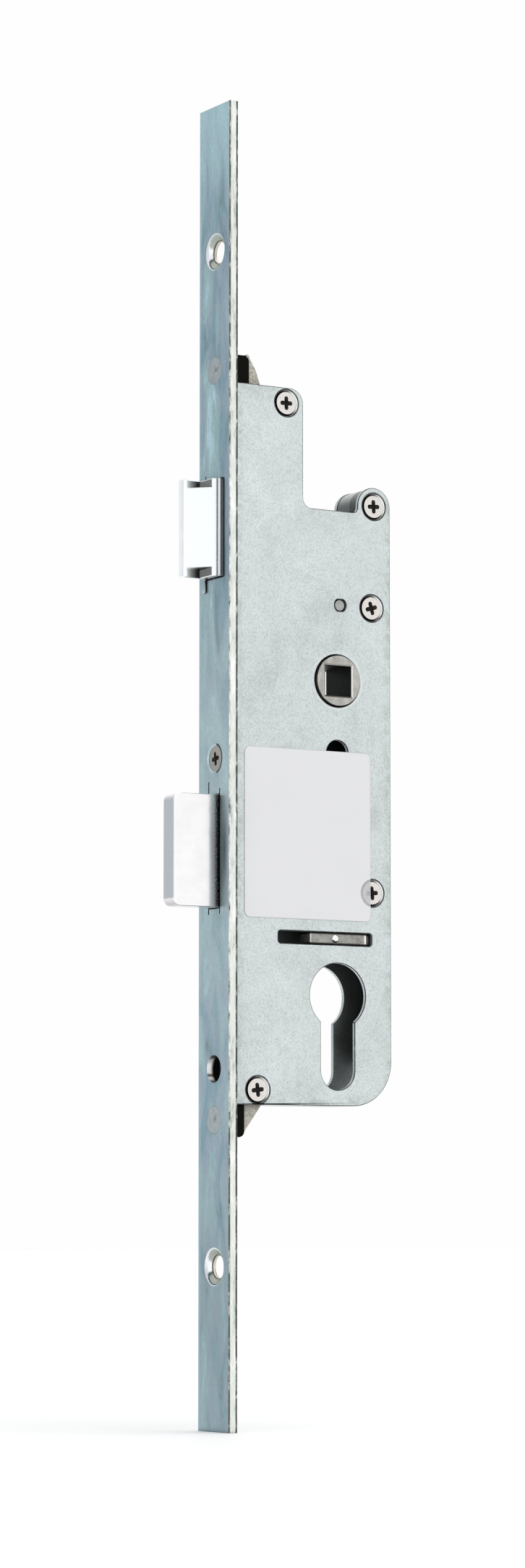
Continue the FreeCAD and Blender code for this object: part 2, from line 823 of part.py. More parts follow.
def make_latch_lever():
    """The lever that the follower's horn lifts by its pad and whose tip draws the latch."""
    y0, y1 = latch_lever_layer()
    boss_r = latch_lever_boss_r
    arm = link(latch_pivot, boss_r, (latch_pivot[0], latch_z), latch_lever_tip_r, y0, y1)
    centre, radius = latch_pad()
    tip_x, tip_z = horn_tip(0)
    front_x = tip_x - follower_horn_tip_r
    pad_foot_z = tip_z - follower_horn_tip_r
    root = math.radians(latch_pad_root_angle)
    corners = [
        (front_x, pad_foot_z, 0),
        (latch_pad_back_x, pad_foot_z, 0),
        (latch_pivot[0] + boss_r * math.cos(root), latch_pivot[1] - boss_r * math.sin(root), 0),
        (latch_pivot[0] - boss_r, latch_pivot[1] + boss_r / 2, boss_r / 4),
        (front_x, tip_z + 2 * follower_horn_tip_r, follower_horn_tip_r),
    ]
    pad = slab_y(corners, y0, y1).common(rod_y(centre, radius, y0, y1))
    bore = rod_y(latch_pivot, latch_pin_d / 2 + fit_gap, y0, y1)
    return arm.fuse(pad).cut(bore).removeSplitter()


def make_latch_lever_pin():
    """The lever's pin: its end shows in the cover's window and its collar backs the lever."""
    end_y = -half_case + free_gap
    pin = rod_y(latch_pivot, latch_pin_d / 2, end_y, half_inside)
    collar_y = -layer_y + latch_lever_thickness + running_gap
    collar = rod_y(latch_pivot, latch_pin_d / 2 + sheet, collar_y, half_inside)
    return pin.fuse(collar).removeSplitter()


def tail_places():
    """The y range and the z range of the deadbolt's tail."""
    front_y = -bolt_thickness / 2
    half = bolt_tail_height / 2
    return front_y, front_y + bolt_tail_thickness, bolt_z - half, bolt_z + half


def bolt_rivet_places():
    """The two places where the tail is riveted to the bolt."""
    x = bolt_back_x - bolt_tail_overlap / 2
    step = bolt_tail_height / 4
    return [(x, bolt_z - step), (x, bolt_z + step)]


def bolt_pin_place():
    """Where the deadbolt's pin stands at rest: half a throw in front of the lever's pivot."""
    return (lever_pivot()[0] - bolt_throw / 2, bolt_z)


def lever_pivot():
    """The pivot that shares the bolt's throw and the slider's in the ratio of their arms."""
    x = slider_pin_x - slider_throw / 2
    span = bolt_z - slider_drive_z
    return (x, slider_drive_z + span * slider_throw / (slider_throw + bolt_throw))


def make_deadbolt():
    """The solid bolt with its rounded corners and a seat for the tail."""
    half_y = bolt_thickness / 2
    half_z = bolt_height / 2
    corners = [
        (bolt_tip_x, bolt_z - half_z, bolt_corner_radius),
        (bolt_back_x, bolt_z - half_z, 0),
        (bolt_back_x, bolt_z + half_z, 0),
        (bolt_tip_x, bolt_z + half_z, bolt_corner_radius),
    ]
    bolt = slab_y(corners, -half_y, half_y)
    rim = [edge for edge in bolt.Edges if edge.BoundBox.XMin < bolt_tip_x + tiny
           and edge.BoundBox.YLength < tiny]
    bolt = bolt.makeFillet(bolt_edge, rim)
    tail_y0, tail_y1, tail_z0, tail_z1 = tail_places()
    tools = [box(bolt_back_x - bolt_tail_overlap, bolt_back_x, tail_y0, tail_y1, tail_z0, tail_z1)]
    for place in bolt_rivet_places():
        tools.append(rod_y(place, bolt_rivet_d / 2, -half_y, half_y))
    return bolt.cut(tools)


def make_bolt_tail():
    """The tail plate with its guide slot, detent notches and the drive pin's hole."""
    tail_y0, tail_y1, tail_z0, tail_z1 = tail_places()
    tail = box(bolt_back_x - bolt_tail_overlap, bolt_tail_end_x, tail_y0, tail_y1, tail_z0, tail_z1)
    tools = [rod_y(place, bolt_rivet_d / 2, tail_y0, tail_y1) for place in bolt_rivet_places()]
    tools.append(rod_y(bolt_pin_place(), bolt_pin_d / 2, tail_y0, tail_y1))
    for x in (detent_x, detent_x - bolt_throw):
        tools.append(rod_y((x, tail_z1), detent_notch_r, tail_y0, tail_y1))
    slot_r = guide_stud_d / 2 + running_gap
    stud_z = bolt_z - guide_stud_drop
    tools.append(link((guide_stud_x - bolt_throw, stud_z), slot_r, (guide_stud_x, stud_z), slot_r,
                      tail_y0, tail_y1))
    return tail.cut(tools)


def make_bolt_rivets():
    """The two rivets through bolt and tail."""
    half_y = bolt_thickness / 2
    rivets = [rod_y(place, bolt_rivet_d / 2, -half_y, half_y) for place in bolt_rivet_places()]
    return Part.makeCompound(rivets)


def lever_layer():
    """The y range of the deadbolt lever, behind the tail and the slider."""
    y0 = -bolt_thickness / 2 + bolt_tail_thickness + free_gap
    return y0, y0 + bolt_lever_thickness


def make_bolt_pin():
    """The pin on the tail that the lever's fork carries."""
    return rod_y(bolt_pin_place(), bolt_pin_d / 2, -bolt_thickness / 2, lever_layer()[1])


def make_guide_stud():
    """The stud on the cover's inner face that guides the tail's slot."""
    place = (guide_stud_x, bolt_z - guide_stud_drop)
    return rod_y(place, guide_stud_d / 2, -half_inside, tail_places()[1])


def fork_arm(pivot, pin, pin_d, y0, y1):
    """One forked arm of the lever, open at its end, round a pin at rest."""
    slot_r = pin_d / 2 + fork_gap
    arm_r = slot_r + fork_wall
    dx = pin[0] - pivot[0]
    dz = pin[1] - pivot[1]
    reach = math.hypot(dx, dz)
    ux = dx / reach
    uz = dz / reach
    inner = abs(dz)
    start = (pivot[0] + ux * inner, pivot[1] + uz * inner)
    past = (pin[0] + ux * arm_r, pin[1] + uz * arm_r)
    arm = link(pivot, bolt_lever_boss_r, pin, arm_r, y0, y1)
    slot = link(start, slot_r, past, slot_r, y0, y1)
    limit = rod_y(pivot, reach + slot_r, y0, y1)
    return arm.common(limit).cut(slot)


def make_bolt_lever():
    """The two-armed lever between the slider and the deadbolt."""
    y0, y1 = lever_layer()
    pivot = lever_pivot()
    upper = fork_arm(pivot, bolt_pin_place(), bolt_pin_d, y0, y1)
    lower = fork_arm(pivot, (slider_pin_x, slider_drive_z), slider_drive_d, y0, y1)
    bore = rod_y(pivot, bolt_lever_pin_d / 2 + fit_gap, y0, y1)
    return upper.fuse(lower).cut(bore).removeSplitter()


def make_bolt_lever_pin():
    """The shouldered pin that the lever turns on."""
    y0, y1 = lever_layer()
    pivot = lever_pivot()
    pin = rod_y(pivot, bolt_lever_pin_d / 2, -half_inside, half_inside)
    collar_r = bolt_lever_pin_d / 2 + sheet / 2
    front = rod_y(pivot, collar_r, -half_inside, y0 - running_gap)
    back = rod_y(pivot, collar_r, y1 + running_gap, half_inside)
    return pin.fuse([front, back]).removeSplitter()


def slider_layer():
    """The y range of the slider's body, just behind the cover."""
    return -half_inside + running_gap, lever_layer()[0] - free_gap


def make_slider():
    """The slider: a rib in the cover's slot, and two feet that the cam pushes."""
    y0, y1 = slider_layer()
    back_x = slider_end_x - slider_tooth
    body = box(slider_rest_x, slider_end_x, y0, y1, slider_foot_z, slider_top_z)
    notch = box(slider_notch_x, back_x, y0, y1, slider_foot_z, slider_notch_roof_z)
    half = slot_height / 2 - free_gap
    rib = box(slider_rest_x, slider_rest_x + slider_rib_length, -half_case + free_gap, y1,
              slot_z - half, slot_z + half)
    rib = rib.cut(box(slider_notch_x, back_x, y0 + sheet, y1, slider_foot_z, slider_notch_roof_z))
    slider = body.cut(notch).fuse(rib)
    tools = [
        rod_y((slider_pin_x, slider_drive_z), slider_drive_d / 2, y0, y1),
        rod_y((slider_pin_x, slot_z), slider_rivet_d / 2, -half_case, y1),
    ]
    return slider.cut(tools).removeSplitter()


def make_slider_pin():
    """The drive pin on the back of the slider."""
    y0 = slider_layer()[0]
    return rod_y((slider_pin_x, slider_drive_z), slider_drive_d / 2, y0, lever_layer()[1])


def make_slider_rivet():
    """The small pin whose end stands out of the slider's face in the slot."""
    front_y = -half_case + free_gap - slider_rivet_stand
    return rod_y((slider_pin_x, slot_z), slider_rivet_d / 2, front_y, slider_layer()[1])


def biarc(start, start_way, end, end_way):
    """Two tangent arcs from one point and direction to another."""
    across = end - start
    ways = start_way + end_way
    spread = 2 * (1 - start_way.dot(end_way))
    lean = across.dot(ways)
    if abs(spread) < tiny:
        reach = across.dot(across) / (4 * across.dot(end_way))
    else:
        reach = (-lean + math.sqrt(lean * lean + spread * across.dot(across))) / spread
    joint = (start + end + (start_way - end_way) * reach) * 0.5
    edges = []
    for here, way, there in ((start, start_way, joint), (end, end_way * -1, joint)):
        chord = there - here
        knee = here + way * reach
        inward = (here + there) * 0.5 - knee
        if inward.Length < tiny:
            edges.append((here, None, there))
            continue
        half_chord = chord.Length / 2
        sag = half_chord * math.tan(way.getAngle(chord) / 2)
        middle = (here + there) * 0.5 - inward.normalize() * sag
        edges.append((here, middle, there))
    first, second = edges
    second = (second[2], second[1], second[0])
    shapes = []
    for here, middle, there in (first, second):
        if middle is None:
            shapes.append(Part.makeLine(here, there))
        else:
            shapes.append(Part.Arc(here, middle, there).toShape())
    return shapes


def coil_path(centre, axis, first, radius, pitch, turns, quarter_steps=4):
    """Biarcs along a helix: centre of its first turn, unit axis, unit start direction."""
    third = axis.cross(first)
    step = 2 * math.pi / quarter_steps
    climb = pitch / (2 * math.pi)

    def place(angle):
        around = first * math.cos(angle) + third * math.sin(angle)
        return centre + around * radius + axis * (climb * angle)

    def way(angle):
        around = third * math.cos(angle) - first * math.sin(angle)
        return (around * radius + axis * climb).normalize()

    edges = []
    for index in range(int(round(turns * quarter_steps))):
        a0 = index * step
        a1 = a0 + step
        edges += biarc(place(a0), way(a0), place(a1), way(a1))
    last = turns * 2 * math.pi
    return edges, (place(0), way(0)), (place(last), way(last))


def tube(edges, radius):
    """A round wire swept along joined edges."""
    path = Part.Wire(edges)
    start = path.OrderedVertexes[0].Point
    first = path.OrderedEdges[0]
    low, high = first.ParameterRange
    at_low = (first.valueAt(low) - start).Length < tiny
    way = first.tangentAt(low if at_low else high)
    ring = Part.Wire(Part.makeCircle(radius, start, way))
    return path.makePipeShell([ring], True, False)


def make_latch_spring():
    """The compression spring between the latch head and the guide."""
    wire_r = latch_spring_wire_d / 2
    start_x = latch_back_x + wire_r + tiny
    length = guide_x - latch_back_x - 2 * wire_r
    pitch = length / latch_spring_turns
    edges, first, last = coil_path(
        V(start_x, 0, latch_z), V(1, 0, 0), V(0, 0, 1), latch_spring_r, pitch, latch_spring_turns
    )
    return tube(edges, wire_r)


def make_follower_spring():
    """The torsion spring that brings the handle back, with a leg to each side."""
    wire_r = follower_spring_wire_d / 2
    x, z = follower_spring_post()
    pitch = follower_spring_wire_d + coil_gap
    rise = follower_spring_leg * pitch / (2 * math.pi * follower_spring_r)
    front_y = layer_y - wire_r - follower_spring_turns * pitch - rise
    edges, start, end = coil_path(
        V(x, front_y, z), V(0, 1, 0), V(0, 0, -1), follower_spring_r, pitch, follower_spring_turns
    )
    lead = Part.makeLine(start[0] - start[1] * follower_spring_leg, start[0])
    tail = Part.makeLine(end[0], end[0] + end[1] * follower_spring_leg)
    return tube([lead] + edges + [tail], wire_r)


def follower_spring_post():
    """Where the spring's post stands, so that its leg lies on the follower's arm."""
    leg_z = spring_arm_half + follower_spring_wire_d / 2 + running_gap
    return (follower_post_x, leg_z + follower_spring_r)


def make_follower_posts():
    """The spring's post and the peg under its fixed leg."""
    post = follower_spring_post()
    leg_z = post[1] - follower_spring_r
    drop = (follower_spring_wire_d + follower_peg_d) / 2 + running_gap
    return Part.makeCompound([
        make_post(post, follower_post_d),
        make_post((follower_peg_x, leg_z - drop), follower_peg_d),
    ])


def make_detent_spring():
    """The torsion spring whose leg drops into the deadbolt tail's notches."""
    wire_r = detent_wire_d / 2
    tail_y0, tail_y1, tail_z0, tail_z1 = tail_places()
    leg_y = (tail_y0 + tail_y1) / 2
    leg_z = detent_post[1] - detent_spring_r
    pitch = detent_wire_d + coil_gap
    edges, start, end = coil_path(
        V(detent_post[0], leg_y, detent_post[1]), V(0, -1, 0), V(0, 0, -1), detent_spring_r, -pitch,
        detent_turns,
    )
    crest_z = tail_z1 + wire_r - detent_notch_r / 2
    points = [
        V(detent_x - detent_hook, leg_y, leg_z),
        V(detent_x - detent_spread, leg_y, leg_z),
        V(detent_x, leg_y, crest_z),
        V(detent_x + detent_spread, leg_y, leg_z),
        start[0],
    ]
    tail = Part.makeLine(end[0], end[0] + end[1] * detent_spring_r)
    return tube(bent_wire(points, 2 * wire_r) + edges + [tail], wire_r)


def bent_wire(points, radius):
    """Straight runs with tangent arcs at the inner points."""
    edges = []
    here = points[0]
    for before, knee, after in zip(points, points[1:], points[2:]):
        back = (before - knee).normalize()
        ahead = (after - knee).normalize()
        half = back.getAngle(ahead) / 2
        if math.pi / 2 - half < tiny:
            continue
        reach = radius / math.tan(half)
        inward = (back + ahead).normalize()
        start = knee + back * reach
        end = knee + ahead * reach
        middle = knee + inward * (radius / math.sin(half) - radius)
        edges.append(Part.makeLine(here, start))
        edges.append(Part.Arc(start, middle, end).toShape())
        here = end
    edges.append(Part.makeLine(here, points[-1]))
    return edges


def make_post(place, diameter):
    """A plain post between the two sheets."""
    return rod_y(place, diameter / 2, -half_inside, half_inside)


def make_label():
    """A blank label on the cover, over the edge of one screw head."""
    right_x = label_left_x + label_width
    foot_z = label_top_z - label_height
    corners = [
        (label_left_x, foot_z, label_corner),
        (right_x, foot_z, label_corner),
        (right_x, label_top_z, label_corner),
        (label_left_x, label_top_z, label_corner),
    ]
    return slab_y(corners, -half_case - label_thickness, -half_case)


nodes = {
    "faceplate": make_faceplate,
    "case_cover": make_cover,
    "case_tray": make_tray,
    "cover_screws": make_cover_screws,
    "case_pillars": make_pillars,
    "lug_bush": make_lug_bush,
    "faceplate_screw": make_face_screw,
    "fixing_block": make_fixing_block,
    "faceplate_rivets": make_rivets,
    "upper_packer": lambda: make_packer(True),
    "lower_packer": lambda: make_packer(False),
    "upper_end_bracket": make_upper_bracket,
    "lower_end_bracket": make_lower_bracket,
    "follower": make_follower,
    "follower_spring": make_follower_spring,
    "follower_spring_posts": make_follower_posts,
    "latch_bolt": make_latch,
    "latch_tail": make_latch_tail,
    "latch_spring": make_latch_spring,
    "latch_guide": make_latch_guide,
    "latch_guide_clip": make_latch_clip,
    "latch_lever": make_latch_lever,
    "latch_lever_pin": make_latch_lever_pin,
    "deadbolt": make_deadbolt,
    "deadbolt_tail": make_bolt_tail,
    "deadbolt_rivets": make_bolt_rivets,
    "deadbolt_drive_pin": make_bolt_pin,
    "deadbolt_guide_stud": make_guide_stud,
    "deadbolt_lever": make_bolt_lever,
    "deadbolt_lever_pin": make_bolt_lever_pin,
    "deadbolt_detent_spring": make_detent_spring,
    "detent_spring_post": lambda: make_post(detent_post, detent_post_d),
    "cylinder_slider": make_slider,
    "slider_drive_pin": make_slider_pin,
    "slider_rivet": make_slider_rivet,
    "blank_label": make_label,
}

os.makedirs("parts", exist_ok=True)
for name, make in nodes.items():
    shape = make()
    shape.exportStep("parts/" + name + ".step")
    volume = round(shape.Volume, 2)
    print(name, "solids", len(shape.Solids), "valid", shape.isValid(), "volume", volume)
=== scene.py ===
"""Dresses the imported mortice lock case: eased edges, real screw heads and plated-steel finishes."""

import json
import math

import bpy
from bpy.props import FloatProperty, FloatVectorProperty, PointerProperty
from mathutils import Matrix, Vector


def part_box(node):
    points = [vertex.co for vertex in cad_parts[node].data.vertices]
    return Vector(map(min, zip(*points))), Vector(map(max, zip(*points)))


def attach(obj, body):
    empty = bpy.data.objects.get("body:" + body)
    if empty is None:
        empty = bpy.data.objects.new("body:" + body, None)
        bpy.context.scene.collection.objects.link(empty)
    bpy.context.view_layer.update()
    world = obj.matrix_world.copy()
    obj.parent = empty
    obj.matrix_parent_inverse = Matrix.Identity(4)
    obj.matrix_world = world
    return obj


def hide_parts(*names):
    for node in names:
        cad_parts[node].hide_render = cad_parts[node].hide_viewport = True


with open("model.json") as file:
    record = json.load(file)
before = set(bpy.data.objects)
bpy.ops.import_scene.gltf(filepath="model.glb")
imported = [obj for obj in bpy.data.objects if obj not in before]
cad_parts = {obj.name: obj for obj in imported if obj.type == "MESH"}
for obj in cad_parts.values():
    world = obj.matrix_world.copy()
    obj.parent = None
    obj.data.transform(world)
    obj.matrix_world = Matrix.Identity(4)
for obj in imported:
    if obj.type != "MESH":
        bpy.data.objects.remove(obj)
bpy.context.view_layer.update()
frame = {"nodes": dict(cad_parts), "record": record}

bl_info = {
    "name": "Mortice lock case",
    "version": (1, 0, 0),
    "blender": (4, 5, 0),
    "location": "3D View > Sidebar > Lock Case",
    "description": "Finishes the pieces of a mortice lock case and sets its studio",
    "category": "Object",
}

MM = 0.001


def corners(node):
    """A frame part's lowest and highest corners, in millimetres."""
    return [Vector(corner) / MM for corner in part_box(node)]


def middle_z(node):
    """The height of a frame part's middle, in millimetres."""
    low, high = corners(node)
    return (low.z + high.z) / 2


def mount(name):
    return next(row for row in frame["record"]["mounts"] if row["name"] == name)


# Places taken from the frame, in millimetres

PLATE_LOW, PLATE_HIGH = corners("faceplate")
PLATE_MIDDLE = middle_z("faceplate")
FRONT_X = PLATE_LOW.x
CASE_LOW, CASE_HIGH = corners("case_cover")
COVER_Y = CASE_LOW.y
INSIDE_Y = corners("case_pillars")[1].y
LABEL_LOW, LABEL_HIGH = corners("blank_label")
LATCH_LOW, LATCH_HIGH = corners("latch_bolt")
LATCH_Z = middle_z("latch_bolt")
LATCH_REACH = (LATCH_HIGH.z - LATCH_LOW.z) / 2
BOLT_LOW, BOLT_HIGH = corners("deadbolt")
BOLT_Z = middle_z("deadbolt")
BOLT_REACH = (BOLT_HIGH.z - BOLT_LOW.z) / 2
SLOT_Z = middle_z("slider_rivet")
RIB_START = corners("cylinder_slider")[0].x
FACE_SCREW_Z = middle_z("faceplate_screw")
HANDLE_SCREW_Z = mount("handle_screw_hole")["pos_m"][2] / MM
CYLINDER_SCREW = mount("cylinder_screw_hole")
FIXING = mount("faceplate_screws")
FIXING_REACH = FIXING["dims"]["spacing_y_mm"] / 2
FIXING_PLACES = [FIXING["pos_m"][2] / MM + way * FIXING_REACH for way in (1, -1)]

# Sizes that the frame doesn't name, in millimetres

SPINDLE_SQUARE = 8.2
SQUARE_FRAME = 4.75
HUB_GAP = 7.05
HUB_GLEAM = 7.7
SINK_RADIUS = 4.1
SINK_RIM = 3.78
FIXING_SINK = 5.3
FIXING_BORE = 3.1
FACE_SINK = 3.8
NOTCH_FOOT = LATCH_REACH - 2.5
NOTCH_NEAR = 2.62
NOTCH_FAR = 7.58
NOTCH_BACK = 3.25
RIB_LENGTH = 17.4
LABEL_SCREW = 3

# Colours that several finishes share; the three dark ones are painted shade

INNER_DARK = (0.010, 0.012, 0.010)
SHADOW_BLACK = (0.012, 0.012, 0.011)
BLACK = (0.02, 0.02, 0.02)
WHITE = (1.0, 1.0, 1.0)


# Node materials

class Finish:
    """A node material under construction, with places counted in millimetres."""

    def __init__(self, name, metallic=0.0, roughness=0.5):
        self.material = bpy.data.materials.new(name)
        self.material.use_nodes = True
        self.nodes = self.material.node_tree.nodes
        self.links = self.material.node_tree.links
        self.shader = self.nodes["Principled BSDF"]
        self.shader.inputs["Metallic"].default_value = metallic
        self.shader.inputs["Roughness"].default_value = roughness
        coords = self.nodes.new("ShaderNodeTexCoord")
        self.place = self.scaled(coords.outputs["Object"], (1 / MM,) * 3)

    def scaled(self, vector, scale):
        made = self.nodes.new("ShaderNodeVectorMath")
        made.operation = "MULTIPLY"
        self.links.new(vector, made.inputs[0])
        made.inputs[1].default_value = scale
        return made.outputs[0]

    def put(self, value, socket):
        """A socket's value: another socket, a number or a colour."""
        if isinstance(value, bpy.types.NodeSocket):
            self.links.new(value, socket)
        elif isinstance(value, (int, float)):
            socket.default_value = value
        else:
            socket.default_value = (*value, 1.0)

    def noise(self, size, detail=4.0, rough=0.6, stretch=(1, 1, 1), twist=0.0):
        """Cloudy noise whose features are about size millimetres, longer along a stretched axis."""
        made = self.nodes.new("ShaderNodeTexNoise")
        self.links.new(self.scaled(self.place, [1 / (size * s) for s in stretch]), made.inputs["Vector"])
        made.inputs["Scale"].default_value = 1.0
        made.inputs["Detail"].default_value = detail
        made.inputs["Roughness"].default_value = rough
        made.inputs["Distortion"].default_value = twist
        return made.outputs["Fac"]

    def ramp(self, factor, *stops):
        """A smooth scale through stops of (position, value or colour)."""
        made = self.nodes.new("ShaderNodeValToRGB")
        self.put(factor, made.inputs["Fac"])
        ramp = made.color_ramp
        ramp.interpolation = "EASE"
        while len(ramp.elements) < len(stops):
            ramp.elements.new(1.0)
        for element, (position, value) in zip(ramp.elements, stops):
            element.position = position
            colour = (value,) * 3 if isinstance(value, (int, float)) else value
            element.color = (*colour, 1.0)
        return made.outputs["Color"]

    def mix(self, factor, first, second):
        """The first colour where the factor is 0, the second where it is 1."""
        made = self.nodes.new("ShaderNodeMix")
        made.data_type = "RGBA"
        self.put(factor, made.inputs["Factor"])
        self.put(first, made.inputs["A"])
        self.put(second, made.inputs["B"])
        return made.outputs["Result"]

    def sum(self, way, first, second=0.0, third=0.0, clamp=False):
        made = self.nodes.new("ShaderNodeMath")
        made.operation = way
        made.use_clamp = clamp
        for value, socket in zip((first, second, third), made.inputs):
            self.put(value, socket)
        return made.outputs[0]

    def both(self, *masks):
        """The product of several masks, kept between 0 and 1."""
        result = masks[0]
        for mask in masks[1:]:
            result = self.sum("MULTIPLY", result, mask, clamp=True)
        return result

    def either(self, *masks):
        """The highest of several masks."""
        result = masks[0]
        for mask in masks[1:]:
            result = self.sum("MAXIMUM", result, mask)
        return result

    def stain(self, body, mask, amount, colour):
        """A colour laid over a body where a mask is 1, up to an amount."""
        return self.mix(self.both(mask, amount), body, colour)

    def axis(self, letter):
        made = self.nodes.new("ShaderNodeSeparateXYZ")
        self.links.new(self.place, made.inputs[0])
        return made.outputs[letter]

    def from_spot(self, letter, spot):
        """The distance from a place along an axis."""
        return self.sum("ABSOLUTE", self.sum("SUBTRACT", self.axis(letter), spot))

    def facing(self, letter):
        """How far the surface faces along an axis, from -1 to 1."""
        geometry = self.nodes.new("ShaderNodeNewGeometry")
        made = self.nodes.new("ShaderNodeSeparateXYZ")
        self.links.new(geometry.outputs["Normal"], made.inputs[0])
        return made.outputs[letter]

    def sideways(self, letter):
        """How far the surface faces either way along an axis, from 0 to 1."""
        return self.sum("ABSOLUTE", self.facing(letter))

    def band(self, value, low, high, start=0.0, end=1.0):
        """A value mapped from one range to another and kept inside it."""
        made = self.nodes.new("ShaderNodeMapRange")
        made.interpolation_type = "SMOOTHSTEP"
        for number, socket in zip((value, low, high, start, end), made.inputs):
            self.put(number, socket)
        return made.outputs[0]

    def near(self, letter, spot, reach):
        """1 at a place along an axis, fading to 0 at reach millimetres from it."""
        return self.band(self.from_spot(letter, spot), 0.0, reach, 1.0, 0.0)

    def ring(self, across, up, radius, reach, letters="XZ"):
        """1 on a circle round a place in a plane, fading to 0 at reach from it."""
        dx = self.sum("SUBTRACT", self.axis(letters[0]), across)
        dz = self.sum("SUBTRACT", self.axis(letters[1]), up)
        square = self.sum("ADD", self.sum("MULTIPLY", dx, dx), self.sum("MULTIPLY", dz, dz))
        away = self.sum("ABSOLUTE", self.sum("SUBTRACT", self.sum("SQRT", square), radius))
        return self.band(away, 0.0, reach, 1.0, 0.0)

    def disc(self, across, up, radius, letters="XZ", crisp=60.0):
        """1 within a radius of a place in a plane, with a crisp edge."""
        return self.both(self.ring(across, up, 0.0, radius, letters), crisp)

    def arris(self, radius, low=0.985, high=0.86):
        """1 within about a radius of a sharp edge, found by how far the surface bends there."""
        soft = self.nodes.new("ShaderNodeBevel")
        soft.samples = 6
        soft.inputs["Radius"].default_value = radius * MM
        geometry = self.nodes.new("ShaderNodeNewGeometry")
        bend = self.nodes.new("ShaderNodeVectorMath")
        bend.operation = "DOT_PRODUCT"
        self.links.new(soft.outputs[0], bend.inputs[0])
        self.links.new(geometry.outputs["Normal"], bend.inputs[1])
        return self.band(bend.outputs["Value"], low, high)

    def shut(self, reach, low, high):
        """1 where little of the room within reach millimetres is open, 0 where it is open."""
        made = self.nodes.new("ShaderNodeAmbientOcclusion")
        made.samples = 6
        made.inputs["Distance"].default_value = reach * MM
        return self.band(made.outputs["AO"], low, high, 1.0, 0.0)

    def crevice(self, body, reach, shade, low=0.25, high=0.75):
        """Paints shade into a colour in gaps and corners, found by occlusion."""
        return self.mix(self.shut(reach, low, high), body, shade)

    def indoors(self, body, shade):
        """Paints shade into a colour between the case's two sheets."""
        deep = self.sum("ABSOLUTE", self.axis("Y"))
        inside = self.band(deep, INSIDE_Y - 0.1, INSIDE_Y + 0.25, 1.0, 0.0)
        return self.mix(self.both(inside, self.shut(14.0, 0.6, 0.9)), body, shade)

    def bump(self, height, depth, strength=1.0):
        """Relief of a depth in millimetres."""
        made = self.nodes.new("ShaderNodeBump")
        made.inputs["Strength"].default_value = strength
        made.inputs["Distance"].default_value = depth * MM
        self.links.new(height, made.inputs["Height"])
        earlier = self.shader.inputs["Normal"].links
        if earlier:
            self.links.new(earlier[0].from_socket, made.inputs["Normal"])
        self.links.new(made.outputs["Normal"], self.shader.inputs["Normal"])

    def colour(self, value):
        self.put(value, self.shader.inputs["Base Color"])

    def colour_glow(self, strength):
        """Lifts a face that the studio lights too little, with white light of its own."""
        self.shader.inputs["Emission Color"].default_value = (*WHITE, 1.0)
        self.put(strength, self.shader.inputs["Emission Strength"])

    def rough(self, value):
        self.put(value, self.shader.inputs["Roughness"])


def scaled_colour(colour, factor):
    """A colour made lighter or darker, kept below white."""
    return [min(1.0, channel * factor) for channel in colour]


def passivated_sheet(tint):
    """Pale zinc plated sheet: fine grain, soft clouds, grubby marks near the edges, and painted shade and
    highlights in gaps, round holes and on edges.
    """
    finish = Finish("passivated_sheet", metallic=0.72, roughness=0.4)
    light = scaled_colour(tint, 1.1)
    clouds = finish.noise(16.0, detail=5.0, rough=0.62, twist=0.6)
    body = finish.ramp(clouds, (0.3, scaled_colour(tint, 0.83)), (0.52, tint), (0.72, light))
    speckle = finish.noise(0.42, detail=4.0, rough=0.75, stretch=(1.0, 1.0, 1.2))
    body = finish.mix(finish.band(speckle, 0.42, 0.64, 0.0, 0.5), body, scaled_colour(tint, 0.55))
    flecks = finish.noise(0.55, detail=3.0, rough=0.7)
    body = finish.mix(finish.band(flecks, 0.5, 0.64, 0.0, 0.42), body, scaled_colour(tint, 1.2))
    patches = finish.noise(3.2, detail=4.0, rough=0.65, twist=0.7)
    body = finish.mix(finish.band(patches, 0.46, 0.7, 0.0, 0.3), body, light)
    body = grime_and_hub_highlight(finish, body)
    # Painted shade in the case's deep gaps and small corners, found by occlusion
    body = finish.crevice(body, 7.0, INNER_DARK, 0.25, 0.55)
    body = finish.crevice(body, 0.9, (0.09, 0.095, 0.09), 0.35, 0.85)
    # Painted shadow in the gap round the follower's hole
    body = finish.stain(body, finish.ring(0.0, 0.0, HUB_GAP, 0.36), 1.6, SHADOW_BLACK)
    # Painted light on the countersinks' cones: a highlight on walls facing left and down, shade on those
    # facing right and up
    cone = finish.ramp(
        lit_from_right(finish), (0.42, SHADOW_BLACK), (0.66, (0.2, 0.2, 0.19)), (0.86, (0.96, 0.97, 0.97)))
    body = finish.mix(countersinks(finish), body, cone)
    # Painted shade: a dark line round each countersink
    body = finish.stain(body, sink_rims(finish), 0.85, (0.06, 0.062, 0.06))
    # Painted shade: a dark line along the sheet's sharp edges
    body = finish.stain(body, finish.arris(0.24), 0.8, (0.13, 0.135, 0.13))
    # Painted shade between the two sheets
    finish.colour(finish.indoors(body, INNER_DARK))
    finish.rough(finish.band(clouds, 0.3, 0.7, 0.34, 0.46))
    finish.bump(speckle, 0.012, 0.6)
    finish.bump(clouds, 0.05, 0.35)
    return finish.material


def grime_and_hub_highlight(finish, body):
    """Grime beside the case's edges, and a painted highlight ring round the follower's hole."""
    smudge = finish.noise(5.0, detail=6.0, rough=0.7, twist=1.2)
    borders = finish.either(
        finish.near("X", CASE_HIGH.x, 3.2),
        finish.near("X", CASE_LOW.x + 1.0, 2.6),
        finish.near("Z", CASE_HIGH.z, 3.0),
        finish.near("Z", CASE_LOW.z, 4.0),
    )
    grime = finish.both(borders, finish.band(smudge, 0.42, 0.68))
    body = finish.stain(body, grime, 0.55, (0.27, 0.30, 0.29))
    # A painted highlight on the raised ring round the follower's hole, on faces toward the front
    in_front = finish.band(finish.facing("Y"), -0.5, -0.95, 0.0, 0.3)
    return finish.stain(body, finish.ring(0.0, 0.0, HUB_GLEAM, 0.5), in_front, (0.93, 0.95, 0.96))


